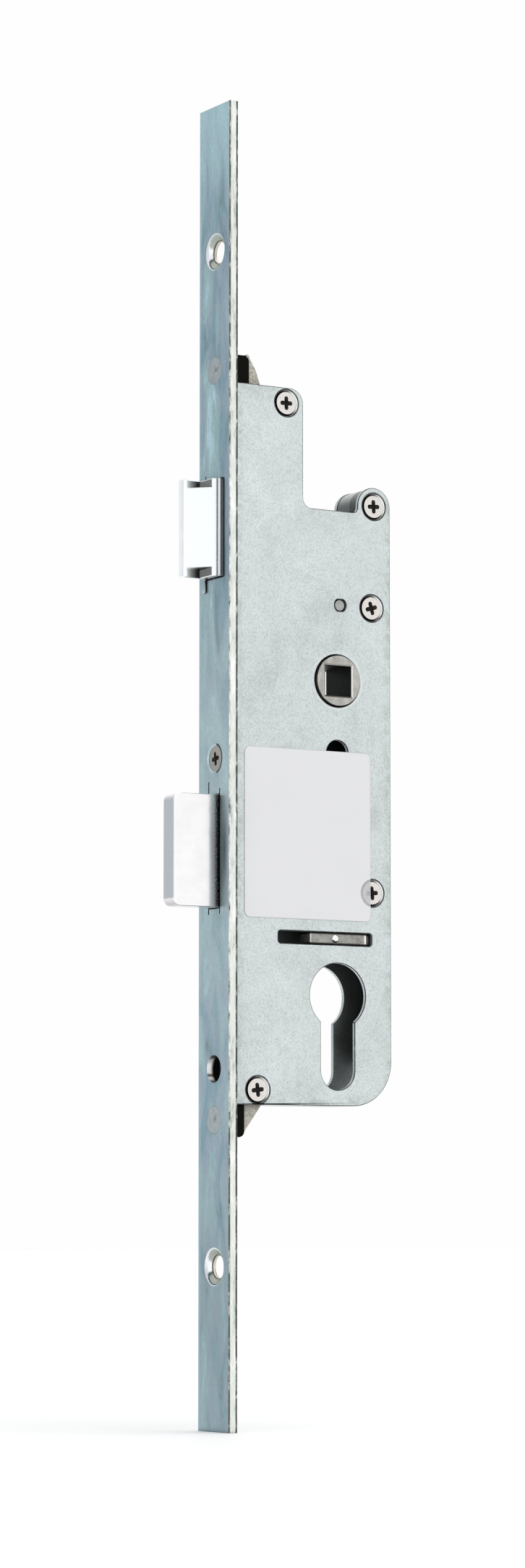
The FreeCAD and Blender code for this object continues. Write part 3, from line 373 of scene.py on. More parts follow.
def countersinks(finish):
    """1 on the cones under the cover screws' heads."""
    spots = [spot / MM for spot in screw_places("cover_screws")]
    cones = finish.either(*[finish.ring(spot.x, spot.z, 0.0, SINK_RADIUS) for spot in spots])
    steep = finish.band(finish.sideways("Y"), 0.93, 0.85)
    return finish.both(cones, 40.0, steep)


def sink_rims(finish):
    """1 on a thin line round the countersinks of the cover."""
    spots = [spot / MM for spot in screw_places("cover_screws")]
    rims = finish.either(*[finish.ring(spot.x, spot.z, SINK_RIM, 0.24) for spot in spots])
    return finish.both(rims, finish.band(finish.axis("Y"), COVER_Y + 1.0, COVER_Y + 0.5))


def lit_from_right(finish):
    """0 on walls that face the right and the top, 1 on those that face the left and the foot."""
    lean = finish.sum("MULTIPLY_ADD", finish.facing("X"), -0.62, 0.5)
    return finish.sum("MULTIPLY_ADD", finish.facing("Z"), -0.2, lean)


def sheared_edge(tint):
    """The rounded arrises of the sheets, painted dark as shade, with bright flecks in places."""
    finish = Finish("sheared_edge", metallic=0.8, roughness=0.42)
    marks = finish.noise(2.2, detail=5.0, rough=0.7)
    stops = ((0.32, 0.03), (0.52, 0.12), (0.74, 0.4))
    finish.colour(finish.ramp(marks, *[(place, scaled_colour(tint, share)) for place, share in stops]))
    finish.bump(marks, 0.03, 0.6)
    return finish.material


def faceplate_bar(shade):
    """Zinc plated bar: teal and lilac clouds on its face, a bright side, a painted highlight with dark wear
    on its front corner, and painted shade along its back, in gaps, beside the latch and round its screw, with
    painted light in its holes.
    """
    finish = Finish("faceplate_bar", metallic=0.78, roughness=0.36)
    clouds = finish.noise(9.0, detail=5.0, rough=0.58, stretch=(1.0, 0.8, 2.6), twist=0.8)
    grain = finish.noise(0.4, detail=3.0, rough=0.75, stretch=(1.0, 1.0, 2.0))
    nibble = finish.noise(1.6, detail=5.0, rough=0.75, stretch=(0.6, 1.0, 2.4))
    front = plate_front(finish, shade, clouds)
    front = finish.mix(finish.band(grain, 0.4, 0.7, 0.0, 0.3), front, scaled_colour(shade, 0.6))
    # Painted shadow on the front beside the latch's aperture
    beside_latch = finish.both(
        finish.near("Y", LATCH_LOW.y - 0.55, 0.55),
        finish.band(finish.from_spot("Z", LATCH_Z), LATCH_REACH - 0.2, LATCH_REACH + 0.6, 1.0, 0.0))
    front = finish.stain(front, beside_latch, 0.95, (0.012, 0.014, 0.014))
    turned = finish.band(finish.facing("X"), -0.4, -0.8)
    body = finish.mix(turned, plate_side(finish, nibble), front)
    body = corner_highlight_and_wear(finish, body, nibble)
    for spot in FIXING_PLACES:
        body = fixing_hole(finish, body, spot)
    # Painted shade in gaps and corners, found by occlusion
    body = finish.crevice(body, 3.0, INNER_DARK, 0.3, 0.55)
    body = finish.crevice(body, 0.8, (0.03, 0.033, 0.03), 0.35, 0.75)
    # Painted shadow: a dark crescent on the front at the right of the faceplate screw's countersink
    right_rim = finish.both(
        finish.ring(0.0, FACE_SCREW_Z, FACE_SINK, 0.72, "YZ"), finish.band(finish.axis("Y"), -0.6, -2.0))
    body = finish.stain(body, right_rim, 1.8, SHADOW_BLACK)
    finish.colour(cylinder_screw_bore(finish, body))
    finish.rough(finish.band(clouds, 0.3, 0.75, 0.28, 0.44))
    finish.bump(grain, 0.012, 0.5)
    finish.bump(clouds, 0.06, 0.3)
    return finish.material


def plate_front(finish, shade, clouds):
    """The bar's front: clouds with lilac and teal smears, paler in its middle and at its top, with painted
    shade beside the deadbolt and a painted highlight along its edge on the tray's side.
    """
    red, green, blue = shade
    body = finish.ramp(
        clouds,
        (0.3, scaled_colour(shade, 0.55)),
        (0.42, (red * 0.82, green * 0.9, blue * 0.98)),
        (0.5, (red * 1.12, green * 1.02, blue * 1.1)),
        (0.58, (red * 1.2, green * 1.22, blue * 1.18)),
        (0.72, scaled_colour(shade, 1.7)),
    )
    tone = finish.noise(4.0, detail=4.0, rough=0.6, stretch=(1.0, 0.8, 3.0), twist=1.4)
    lilac = (red * 1.25, green * 0.98, blue * 1.12)
    body = finish.mix(finish.band(tone, 0.5, 0.66, 0.0, 0.42), body, lilac)
    teal = (red * 0.82, green * 1.06, blue * 1.04)
    body = finish.mix(finish.band(tone, 0.46, 0.3, 0.0, 0.5), body, teal)
    middle = finish.near("Z", PLATE_MIDDLE - 15.5, 85.0)
    body = finish.stain(body, middle, 0.55, (red * 1.85, green * 1.62, blue * 1.52))
    body = finish.stain(body, finish.near("Z", PLATE_HIGH.z + 0.5, 40.0), 0.6, scaled_colour(shade, 1.7))
    body = finish.stain(body, finish.near("Z", PLATE_MIDDLE - 150.0, 60.0), 0.42, scaled_colour(shade, 0.62))
    # Painted shade on the front beside the deadbolt
    beside_bolt = finish.both(
        finish.near("Y", BOLT_LOW.y - 2.6, 2.6), finish.near("Z", BOLT_Z, BOLT_REACH + 1.5))
    body = finish.stain(body, beside_bolt, 0.85, scaled_colour(shade, 0.3))
    # A painted highlight along the front's edge on the tray's side
    return finish.stain(body, finish.near("Y", PLATE_HIGH.y, 1.6), 0.5, scaled_colour(shade, 1.5))


def plate_side(finish, nibble):
    """The bar's bright side, with a nibbled line of painted shadow along its back."""
    edge = finish.noise(3.0, detail=5.0, rough=0.7, stretch=(1.0, 1.0, 4.0))
    side = finish.ramp(edge, (0.3, (0.36, 0.42, 0.37)), (0.48, (0.74, 0.78, 0.73)), (0.7, (0.95, 0.95, 0.93)))
    # Painted shadow along the side's back edge, where the bar meets the case
    at_back = finish.both(
        finish.near("X", PLATE_HIGH.x - 0.22, 0.5), finish.band(finish.facing("X"), 0.8, 0.5))
    return finish.stain(side, at_back, finish.band(nibble, 0.36, 0.54, 0.35, 1.4), (0.03, 0.035, 0.03))


def corner_highlight_and_wear(finish, body, nibble):
    """The bar's front corner: a painted highlight along the case, broken by dark wear that grows towards the
    bar's ends.
    """
    at_front = finish.both(finish.near("X", FRONT_X + 0.1, 0.45), finish.near("Y", PLATE_LOW.y + 0.1, 0.42))
    to_ends = finish.band(finish.from_spot("Z", PLATE_MIDDLE), 60.0, 125.0, 0.0, 0.13)
    # worn holds a painted highlight broken by dark brown wear
    worn = finish.ramp(finish.sum("ADD", nibble, to_ends), (0.4, (0.95, 0.93, 0.92)),
                       (0.52, (0.62, 0.57, 0.54)), (0.64, (0.09, 0.08, 0.07)))
    return finish.stain(body, at_front, 1.3, worn)


def fixing_hole(finish, body, spot):
    """A countersink in the bar, with painted light: its cone white in front and grey above and below by which
    way it faces, and a line of painted shade round a beige bore.
    """
    grey = (0.42, 0.45, 0.41)
    deep = finish.band(finish.axis("X"), FRONT_X + 0.03, FRONT_X + 0.1)
    # Painted light on the cone, by which way it faces
    lean = finish.sum("MULTIPLY_ADD", finish.facing("Z"), 0.5, 0.5)
    cone = finish.ramp(lean, (0.15, (0.33, 0.36, 0.32)), (0.34, grey), (0.42, (0.93, 0.95, 0.96)),
                       (0.58, (0.95, 0.95, 0.98)), (0.63, (0.06, 0.09, 0.09)), (0.7, grey),
                       (0.85, (0.50, 0.50, 0.45)))
    turned = finish.noise(0.22, detail=2.0, rough=0.6, stretch=(1.0, 30.0, 30.0))
    bore = finish.ramp(turned, (0.35, (0.40, 0.37, 0.29)), (0.65, (0.80, 0.76, 0.66)))
    hollow = finish.mix(finish.band(finish.sideways("X"), 0.35, 0.2), cone, bore)
    # Painted shade round the bore's lip
    lip = finish.both(finish.ring(0.0, spot, FIXING_BORE, 0.3, "YZ"), finish.near("X", FRONT_X + 1.5, 0.4))
    hollow = finish.mix(lip, hollow, (0.05, 0.045, 0.035))
    return finish.stain(body, finish.disc(0.0, spot, FIXING_SINK, "YZ"), deep, hollow)


def cylinder_screw_bore(finish, body):
    """The wall of the cylinder screw's hole, with painted light: bands by which way the wall faces, a glow
    beside the front, and painted shade deeper towards the case.
    """
    radius = CYLINDER_SCREW["dims"]["r_mm"] + 0.35
    inside = finish.disc(0.0, CYLINDER_SCREW["pos_m"][2] / MM, radius, "YZ")
    wall = finish.both(inside, finish.band(finish.sideways("X"), 0.75, 0.6))
    # Painted light: bright and dark bands by which way the wall faces
    lean = finish.sum("MULTIPLY_ADD", finish.facing("Z"), 0.5, 0.5)
    wall_light = finish.ramp(lean, (0.06, (0.05, 0.05, 0.045)), (0.2, (0.55, 0.55, 0.53)),
                          (0.36, (0.98, 0.98, 0.97)), (0.6, (0.90, 0.90, 0.88)), (0.72, (0.10, 0.10, 0.09)),
                          (0.82, (0.75, 0.75, 0.73)), (0.95, (0.08, 0.08, 0.07)))
    deep = finish.band(finish.axis("X"), FRONT_X + 0.9, FRONT_X + 2.0)
    near_front = finish.both(wall, finish.sum("SUBTRACT", 1.0, deep))
    # The wall glows beside the front, a painted light; deeper in, painted shade
    finish.colour_glow(finish.sum("MULTIPLY", near_front, finish.sum("MULTIPLY", wall_light, 0.6)))
    return finish.mix(wall, body, finish.mix(deep, wall_light, (0.02, 0.02, 0.018)))


def bright_plate(name, tint, roughness, brushed, metallic=1.0):
    """Polished plate with a faint haze, hairlines along one axis and painted shade in its gaps. Gives the
    finish and its colour.
    """
    finish = Finish(name, metallic, roughness)
    haze = finish.noise(6.0, detail=4.0, rough=0.6, twist=0.4)
    body = finish.ramp(haze, (0.3, scaled_colour(tint, 0.93)), (0.7, tint))
    hairs = finish.noise(0.25, detail=2.0, rough=0.6, stretch=brushed)
    body = finish.mix(finish.band(hairs, 0.4, 0.8, 0.0, 0.14), body, scaled_colour(tint, 0.6))
    finish.rough(finish.band(haze, 0.3, 0.7, roughness * 0.8, roughness * 1.3))
    finish.bump(hairs, 0.006, 0.5)
    # Painted shade in gaps and corners, found by occlusion
    return finish, finish.crevice(body, 2.2, (0.07, 0.07, 0.07), 0.4, 0.92)


def dull_nickel(tint):
    """The faceplate screw's nickel: worn and hazy."""
    finish, body = bright_plate("face_screw_nickel", tint, 0.27, (1, 1, 4))
    finish.colour(body)
    return finish.material


def satin_nickel(tint):
    """The cover screws' nickel: even, with a faint haze."""
    finish = Finish("cover_screw_nickel", metallic=0.9, roughness=0.4)
    haze = finish.noise(1.2, detail=4.0, rough=0.6)
    finish.colour(finish.ramp(haze, (0.3, scaled_colour(tint, 0.97)), (0.7, scaled_colour(tint, 1.03))))
    finish.rough(finish.band(haze, 0.3, 0.7, 0.38, 0.42))
    return finish.material


def latch_chrome(tint):
    """The latch: white chrome, with painted shade in its notches, a painted glow on the notches' walls and
    its nose, a painted shadow line at the faceplate, and dark along its shoulder.
    """
    finish, body = bright_plate("latch_chrome", tint, 0.16, (6, 1, 1), metallic=0.62)
    ahead = finish.sum("SUBTRACT", FRONT_X, finish.axis("X"))
    in_notch = latch_notches(finish, ahead)
    # Painted shade in the notches, darkest towards the faceplate
    darkening = finish.ramp(finish.sum("MULTIPLY", ahead, 0.1), (0.28, (0.012, 0.013, 0.013)),
                       (0.5, (0.10, 0.105, 0.105)), (0.76, (0.62, 0.65, 0.66)))
    body = finish.mix(in_notch, body, darkening)
    rough_line = finish.band(finish.noise(0.5, detail=4.0, rough=0.7), 0.3, 0.45, 0.4, 1.6)
    shoulder = finish.both(finish.near("X", FRONT_X - 1.6, 0.34), rough_line)
    body = finish.stain(body, shoulder, 0.85, (0.10, 0.10, 0.10))
    # A painted glow on the notches' walls and on the nose
    along = finish.band(finish.sideways("X"), 0.6, 0.3)
    glow = finish.both(in_notch, along, finish.band(ahead, 3.4, 7.6, 0.0, 0.34))
    nose = finish.band(finish.facing("X"), -0.75, -0.95, 0.0, 0.14)
    finish.colour_glow(finish.either(glow, nose))
    # A painted shadow line where the latch leaves the faceplate
    finish.colour(finish.stain(body, finish.near("X", FRONT_X - 0.55, 0.22), 1.4, (0.03, 0.03, 0.03)))
    return finish.material


def latch_notches(finish, ahead):
    """1 in the notches at both ends of the latch; ahead is the distance before the faceplate."""
    soft = 0.08
    return finish.both(
        finish.band(finish.from_spot("Z", LATCH_Z), NOTCH_FOOT, NOTCH_FOOT + soft),
        finish.band(ahead, NOTCH_NEAR, NOTCH_NEAR + soft),
        finish.band(ahead, NOTCH_FAR, NOTCH_FAR - soft),
        finish.band(finish.axis("Y"), NOTCH_BACK, NOTCH_BACK - soft),
    )


def pressed_powder(name, tint, pitted):
    """Sintered steel: warm grey, pitted with fine pores, with painted shade in its gaps. Gives the finish and
    its colour so far.
    """
    finish = Finish(name, metallic=0.8, roughness=0.42)
    pores = finish.noise(pitted, detail=4.0, rough=0.75)
    clouds = finish.noise(2.5, detail=3.0, rough=0.6)
    body = finish.ramp(clouds, (0.3, scaled_colour(tint, 0.82)), (0.7, scaled_colour(tint, 1.15)))
    body = finish.mix(finish.band(pores, 0.52, 0.7, 0.0, 0.75), body, (0.07, 0.065, 0.055))
    finish.rough(finish.band(pores, 0.3, 0.7, 0.32, 0.6))
    finish.bump(pores, 0.03, 0.7)
    # Painted shade in gaps and corners, found by occlusion
    return finish, finish.crevice(body, 5.0, INNER_DARK, 0.35, 0.72)


def hub_powder(tint):
    """The follower: pale powder steel, with painted shade in the square, painted light on its bevelled frame
    and painted shade on its rim.
    """
    finish, body = pressed_powder("follower_powder", tint, 0.4)
    finish.shader.inputs["Specular IOR Level"].default_value = 0.12
    across = finish.either(finish.from_spot("X", 0.0), finish.from_spot("Z", 0.0))
    leaning = finish.band(finish.sideways("Y"), 0.96, 0.88)
    # Painted light on the frame's bevel, by which way it faces
    frame_tone = finish.ramp(lit_from_right(finish), (0.5, (0.10, 0.098, 0.09)), (0.8, (0.80, 0.79, 0.75)))
    in_frame = finish.band(across, SQUARE_FRAME + 0.05, SQUARE_FRAME - 0.05)
    body = finish.stain(body, leaning, in_frame, frame_tone)
    half = SPINDLE_SQUARE / 2
    # Painted shade inside the spindle square
    body = finish.mix(finish.band(across, half + 0.04, half + 0.1, 1.0, 0.0), body, (0.002, 0.002, 0.002))
    # Painted shade on the rim round the hub
    rim = finish.both(leaning, finish.band(across, SQUARE_FRAME + 0.45, SQUARE_FRAME + 0.55))
    finish.colour(finish.stain(body, rim, 0.82, (0.06, 0.055, 0.048)))
    return finish.material


def slider_powder(tint):
    """The slider: pitted grey, with painted shadow along the slot's edges and painted highlights at the rib's
    ends.
    """
    finish, body = pressed_powder("slider_powder", tint, 0.6)
    up = finish.from_spot("Z", SLOT_Z)
    # Painted shadow under the slot's upper and lower edges
    body = finish.mix(finish.band(up, 0.95, 1.3, 0.0, 0.9), body, (0.01, 0.01, 0.009))
    # Painted highlights on the rib's ends
    outside = finish.both(finish.band(finish.axis("Y"), COVER_Y + 1.0, COVER_Y + 0.7), 3.0)
    on_rib = finish.both(outside, finish.band(up, 1.25, 1.0))
    for spot, wide in ((RIB_START, 0.35), (RIB_START + RIB_LENGTH, 0.6)):
        body = finish.stain(body, finish.near("X", spot, wide), on_rib, (0.92, 0.91, 0.88))
    finish.colour(body)
    return finish.material


def raw_casting(tint):
    """Cast zinc: beige-grey, coarse grain with dull lows and bright high spots, and painted shade in its
    gaps.
    """
    finish = Finish("raw_casting", metallic=0.62, roughness=0.5)
    grain = finish.noise(0.7, detail=5.0, rough=0.75)
    body = finish.ramp(grain, (0.3, scaled_colour(tint, 0.5)), (0.5, tint), (0.72, scaled_colour(tint, 1.45)))
    # Painted shade in gaps and corners, found by occlusion
    finish.colour(finish.crevice(body, 4.0, INNER_DARK, 0.2, 0.6))
    finish.rough(finish.band(grain, 0.3, 0.7, 0.62, 0.36))
    finish.bump(grain, 0.06, 0.8)
    return finish.material


def moulded_nylon(tint):
    """Black moulded nylon with a fine spark-eroded texture."""
    finish = Finish("moulded_nylon", roughness=0.55)
    finish.shader.inputs["Specular IOR Level"].default_value = 0.03
    grain = finish.noise(0.3, detail=3.0, rough=0.6)
    finish.colour(finish.ramp(grain, (0.3, tint), (0.8, scaled_colour(tint, 1.6))))
    finish.rough(finish.band(grain, 0.3, 0.7, 0.46, 0.64))
    finish.bump(grain, 0.02, 0.6)
    return finish.material


def coated_paper(tint):
    """The blank label: coated paper with a faint tooth, pressed a little into the hole behind it."""
    finish = Finish("coated_paper", roughness=0.48)
    tooth = finish.noise(0.5, detail=3.0, rough=0.6)
    clouds = finish.noise(14.0, detail=2.0, rough=0.5)
    body = finish.ramp(clouds, (0.3, scaled_colour(tint, 0.98)), (0.7, tint))
    edge = finish.either(
        finish.near("X", LABEL_LOW.x, 0.35), finish.near("X", LABEL_HIGH.x, 0.35),
        finish.near("Z", LABEL_HIGH.z, 0.3), finish.near("Z", LABEL_LOW.z, 0.35))
    finish.colour(finish.stain(body, edge, 0.35, (0.42, 0.43, 0.44)))
    finish.bump(tooth, 0.006, 0.4)
    finish.bump(finish.ring(0.0, HANDLE_SCREW_Z, 3.4, 0.7), 0.05, 0.5)
    screw = screw_places("cover_screws")[LABEL_SCREW] / MM
    over_screw = finish.ring(screw.x, screw.z, 0.0, SINK_RADIUS)
    finish.put(finish.band(over_screw, 0.0, 0.04, 1.0, 0.4), finish.shader.inputs["Alpha"])
    return finish.material


def soot_black():
    """Painted shade for the unlit inside of a cross recess: rough, dark and slightly pitted."""
    finish = Finish("soot_black", metallic=0.3, roughness=0.7)
    pits = finish.noise(0.3, detail=4.0, rough=0.8)
    finish.colour(finish.ramp(pits, (0.45, (0.006, 0.006, 0.006)), (0.8, (0.10, 0.09, 0.08))))
    finish.bump(pits, 0.05, 0.8)
    return finish.material


def drawn_wire(tint):
    """Spring and drawn steel: dark, with lengthwise die marks."""
    finish = Finish("drawn_wire", metallic=0.9, roughness=0.34)
    marks = finish.noise(0.35, detail=3.0, rough=0.6, stretch=(3.0, 1.0, 3.0))
    finish.colour(finish.ramp(marks, (0.3, scaled_colour(tint, 0.7)), (0.7, tint)))
    finish.rough(finish.band(marks, 0.3, 0.7, 0.28, 0.44))
    finish.bump(marks, 0.008, 0.5)
    return finish.material


def bush_steel(tint):
    """The turned bush: painted light on top and painted shade below, dark between its seam and the cover, and
    painted shade in its gaps.
    """
    finish = Finish("bush_steel", metallic=0.75, roughness=0.36)
    rings = finish.noise(0.6, detail=3.0, rough=0.6, stretch=(4.0, 1.0, 4.0))
    body = finish.ramp(rings, (0.3, scaled_colour(tint, 0.85)), (0.7, tint))
    # Painted shade on faces that turn away from the top
    body = finish.stain(body, finish.band(finish.facing("Z"), 0.95, 0.1), 0.8, (0.07, 0.073, 0.07))
    body = finish.stain(body, finish.band(finish.axis("Y"), -1.6, -1.9), 0.6, (0.05, 0.05, 0.048))
    # Painted shade in gaps, found by occlusion
    finish.colour(finish.crevice(body, 0.8, BLACK, 0.3, 0.7))
    finish.rough(finish.band(rings, 0.3, 0.7, 0.3, 0.44))
    finish.bump(rings, 0.008, 0.5)
    return finish.material


def plated_steel(tint):
    """Plain zinc plated steel for what works inside the case, with painted shade in its gaps and between the
    sheets.
    """
    finish = Finish("plated_steel", metallic=0.85, roughness=0.36)
    clouds = finish.noise(4.0, detail=5.0, rough=0.65, twist=0.5)
    grain = finish.noise(0.45, detail=3.0, rough=0.7)
    body = finish.ramp(clouds, (0.3, scaled_colour(tint, 0.8)), (0.7, tint))
    body = finish.mix(finish.band(grain, 0.4, 0.75, 0.0, 0.2), body, scaled_colour(tint, 0.5))
    # Painted shade in gaps and between the sheets, found by occlusion
    body = finish.crevice(body, 5.0, INNER_DARK, 0.3, 0.7)
    finish.colour(finish.indoors(body, INNER_DARK))
    finish.rough(finish.band(clouds, 0.3, 0.7, 0.3, 0.46))
    finish.bump(grain, 0.01, 0.5)
    return finish.material


def rivet_zinc():
    """The rivets' end faces: zinc greyer than the bar, dark round the rim and in the dimple."""
    shade = sum(colours().plate_shade) / 3
    finish = Finish("rivet_zinc", metallic=0.7, roughness=0.42)
    clouds = finish.noise(1.6, detail=5.0, rough=0.6, twist=0.8)
    body = finish.ramp(clouds, (0.3, (shade * 0.8, shade * 0.9, shade * 0.94)),
                       (0.7, (shade * 1.08, shade * 1.16, shade * 1.18)))
    for spot in screw_places("faceplate_rivets"):
        rim = finish.ring(0.0, spot.z / MM, sizes().rivet_radius / MM, 0.3, "YZ")
        dimple = finish.ring(-0.2, spot.z / MM + 0.4, 0.0, 1.5, "YZ")
        body = finish.stain(body, rim, 0.5, (0.12, 0.14, 0.14))
        body = finish.stain(body, dimple, 0.55, (0.14, 0.15, 0.15))
    finish.colour(body)
    finish.rough(finish.band(clouds, 0.3, 0.7, 0.32, 0.46))
    finish.bump(clouds, 0.02, 0.4)
    return finish.material


def deadbolt_nickel(tint):
    """Satin nickel with a grainy darkening that thickens towards the faceplate, a painted shadow line where
    it leaves the faceplate, and painted shade on its end face, its underside and its gaps.
    """
    finish = Finish("deadbolt_nickel", metallic=1.0, roughness=0.22)
    grain = finish.noise(0.35, detail=4.0, rough=0.75)
    clouds = finish.noise(5.0, detail=4.0, rough=0.6)
    along = finish.axis("X")
    fade = finish.band(along, FRONT_X - 3.7, FRONT_X + 0.3)
    darkening = finish.both(fade, finish.band(grain, 0.3, 0.65, 0.85, 1.35))
    # A painted shadow line where the bolt leaves the faceplate
    darkening = finish.either(darkening, finish.band(along, FRONT_X - 0.7, FRONT_X - 0.3))
    on_side = finish.band(finish.facing("Y"), -0.5, -0.9)
    body = finish.ramp(clouds, (0.3, scaled_colour(tint, 0.95)), (0.7, tint))
    body = finish.stain(body, darkening, on_side, (0.008, 0.008, 0.008))
    # Painted shade on the end face and on faces turned down
    body = finish.stain(body, finish.band(finish.facing("X"), -0.6, -0.95), 0.9, (0.72, 0.70, 0.72))
    body = finish.stain(body, finish.band(finish.facing("Z"), -0.3, -0.8), 0.8, (0.42, 0.42, 0.43))
    # Painted shade in gaps, found by occlusion
    finish.colour(finish.crevice(body, 0.8, BLACK, 0.35, 0.8))
    finish.rough(finish.band(darkening, 0.1, 0.9, 0.2, 0.6))
    finish.bump(grain, 0.012, 0.5)
    return finish.material


def rivet_dome():
    """The slider rivet's polished end, with painted shade underneath."""
    finish = Finish("rivet_dome", metallic=0.7, roughness=0.25)
    haze = finish.noise(0.8, detail=3.0)
    body = finish.ramp(haze, (0.3, (0.86, 0.86, 0.84)), (0.7, (0.97, 0.97, 0.96)))
    # Painted shade on faces turned down
    finish.colour(finish.mix(finish.band(finish.facing("Z"), -0.12, -0.4), body, BLACK))
    finish.bump(haze, 0.01, 0.3)
    return finish.material


# Modelling helpers

def deselect():
    """Nothing selected and nothing in edit mode."""
    if bpy.context.object and bpy.context.object.mode != "OBJECT":
        bpy.ops.object.mode_set(mode="OBJECT")
    bpy.ops.object.select_all(action="DESELECT")


def only(piece):
    """Makes one piece the selected and active object."""
    deselect()
    piece.select_set(True)
    bpy.context.view_layer.objects.active = piece
    return piece


def dress(piece, material):
    """Gives a piece one material in every slot."""
    if not piece.data.materials:
        piece.data.materials.append(material)
    for index in range(len(piece.material_slots)):
        piece.material_slots[index].material = material
    return piece


def apply_modifiers(piece):
    """Applies every modifier in turn."""
    only(piece)
    for name in [modifier.name for modifier in piece.modifiers]:
        bpy.ops.object.modifier_apply(modifier=name)
    return piece


def settle(piece, name, body, slot, *nodes):
    """Names a finished piece and ties it to its body and what it replaces. The slot is not used."""
    piece.name = name
    piece.data.name = name
    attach(piece, body)
    if nodes:
        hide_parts(*nodes)
    return piece


def body_of_node(node):
    """The body that a frame part belongs to."""
    bodies = frame["record"]["behaviour"]["bodies"]
    return next(body for body, members in bodies.items() if node in members)


def slot_of_node(node):
    """The record's material slot of a frame part."""
    parts = frame["record"]["subparts"]
    return next(part["material_slot"] for part in parts if part["node"] == node)


def shade(piece):
    """Shades a piece smooth across its roundings and leaves its flats flat."""
    only(piece)
    bpy.ops.object.shade_smooth_by_angle(angle=math.radians(50.0))
    even = piece.modifiers.new("even", "WEIGHTED_NORMAL")
    even.mode = "FACE_AREA"
    even.weight = 100
    even.keep_sharp = True
    return apply_modifiers(piece)


def bevel(piece, ease, steps, angle):
    """A rounding of a piece's arrises that are sharper than an angle."""
    rounding = piece.modifiers.new("rounding", "BEVEL")
    rounding.width = ease * MM
    rounding.segments = steps
    rounding.limit_method = "ANGLE"
    rounding.angle_limit = math.radians(angle)
    return rounding


def eased(node, name, ease, material, steps=2, angle=38.0, rim=None, clamp=True):
    """A frame part's shape with its arrises eased, or left alone if ease is 0, standing for that part."""
    piece = frame["nodes"][node].copy()
    piece.data = frame["nodes"][node].data.copy()
    piece.hide_render = False
    bpy.context.scene.collection.objects.link(piece)
    for key in list(piece.keys()):
        del piece[key]
    piece.parent = None
    only(piece)
    if piece.data.has_custom_normals:
        bpy.ops.mesh.customdata_custom_splitnormals_clear()
    bpy.ops.object.mode_set(mode="EDIT")
    bpy.ops.mesh.select_mode(type="VERT")
    bpy.ops.mesh.select_all(action="SELECT")
    bpy.ops.mesh.remove_doubles(threshold=0.002 * MM)
    if ease:
        bpy.ops.mesh.dissolve_limited(angle_limit=math.radians(0.6))
    bpy.ops.object.mode_set(mode="OBJECT")
    dress(piece, material)
    if ease:
        rounding = bevel(piece, ease, steps, angle)
        rounding.use_clamp_overlap = clamp
        rounding.miter_outer = "MITER_ARC"
        if rim is not None:
            piece.data.materials.append(rim)
            rounding.material = len(piece.data.materials) - 1
    apply_modifiers(piece)
    keep_in_box(piece, node)
    shade(piece)
    return settle(piece, name, body_of_node(node), slot_of_node(node), node)


def keep_in_box(piece, node):
    """Draws back any point that a rounding has thrown outside the frame part's box."""
    low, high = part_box(node)
    for vertex in piece.data.vertices:
        vertex.co = [min(max(place, start), end) for place, start, end in zip(vertex.co, low, high)]


def chosen(piece, test):
    """Selects the faces of a piece, in edit mode, whose centre and normal pass a test."""
    only(piece)
    bpy.ops.object.mode_set(mode="EDIT")
    bpy.ops.mesh.select_mode(type="FACE")
    bpy.ops.mesh.select_all(action="DESELECT")
    bpy.ops.object.mode_set(mode="OBJECT")
    for face in piece.data.polygons:
        face.select = test(face.center / MM, face.normal)
    bpy.ops.object.mode_set(mode="EDIT")
    return piece


def paint_faces(piece, material, test):
    """Adds a second material to a piece on the faces that pass a test."""
    piece.data.materials.append(material)
    index = len(piece.data.materials) - 1
    for face in piece.data.polygons:
        if test(face.center / MM, face.normal):
            face.material_index = index
    return piece


def turned_bar(name, rings, sides=64):
    """A round piece standing on Z: rings are (radius, height) in millimetres from foot to head."""
    deselect()
    bpy.ops.mesh.primitive_circle_add(vertices=sides, radius=rings[0][0] * MM, fill_type="NGON",
                                      location=(0, 0, rings[0][1] * MM))
    piece = bpy.context.object
    piece.name = name
    bpy.ops.object.transform_apply(location=True, rotation=False, scale=False)
    bpy.ops.object.mode_set(mode="EDIT")
    bpy.ops.mesh.select_mode(type="FACE")
    bpy.ops.mesh.select_all(action="SELECT")
    for (old_r, old_z), (new_r, new_z) in zip(rings, rings[1:]):
        bpy.ops.mesh.extrude_region_move(TRANSFORM_OT_translate={"value": (0, 0, (new_z - old_z) * MM)})
        share = new_r / old_r
        bpy.ops.transform.resize(value=(share, share, 1), center_override=(0, 0, new_z * MM))
    bpy.ops.mesh.select_all(action="SELECT")
    bpy.ops.mesh.normals_make_consistent(inside=False)
    bpy.ops.object.mode_set(mode="OBJECT")
    return piece


def tapered_blade(size, wide, depth, point):
    """A bar through the origin, whose foot is drawn in to a share of its size and its head spread as much."""
    deselect()
    bpy.ops.mesh.primitive_cube_add(size=1.0)
    blade = bpy.context.object
    bpy.ops.transform.resize(value=(size * MM, wide * MM, 2 * depth * MM), center_override=(0, 0, 0))
    bpy.ops.object.transform_apply(location=True, rotation=True, scale=True)
    for side, shares in ((-1, point), (1, [2 - share for share in point])):
        chosen(blade, lambda centre, normal: normal.z * side > 0.5)
        bpy.ops.transform.resize(value=(*shares, 1), center_override=(0, 0, side * depth * MM))
        bpy.ops.object.mode_set(mode="OBJECT")
    return blade


def cross_bit(size, wide, depth):
    """The two blades of a tapered four-winged bit, its point down, for cutting a cross recess."""
    narrow = 0.34
    lean = 0.7
    blades = [tapered_blade(size, wide, depth, (narrow, lean)),
              tapered_blade(wide, size, depth, (lean, narrow))]
    for blade in blades:
        soften(blade, wide * 0.38, steps=3)
    return blades


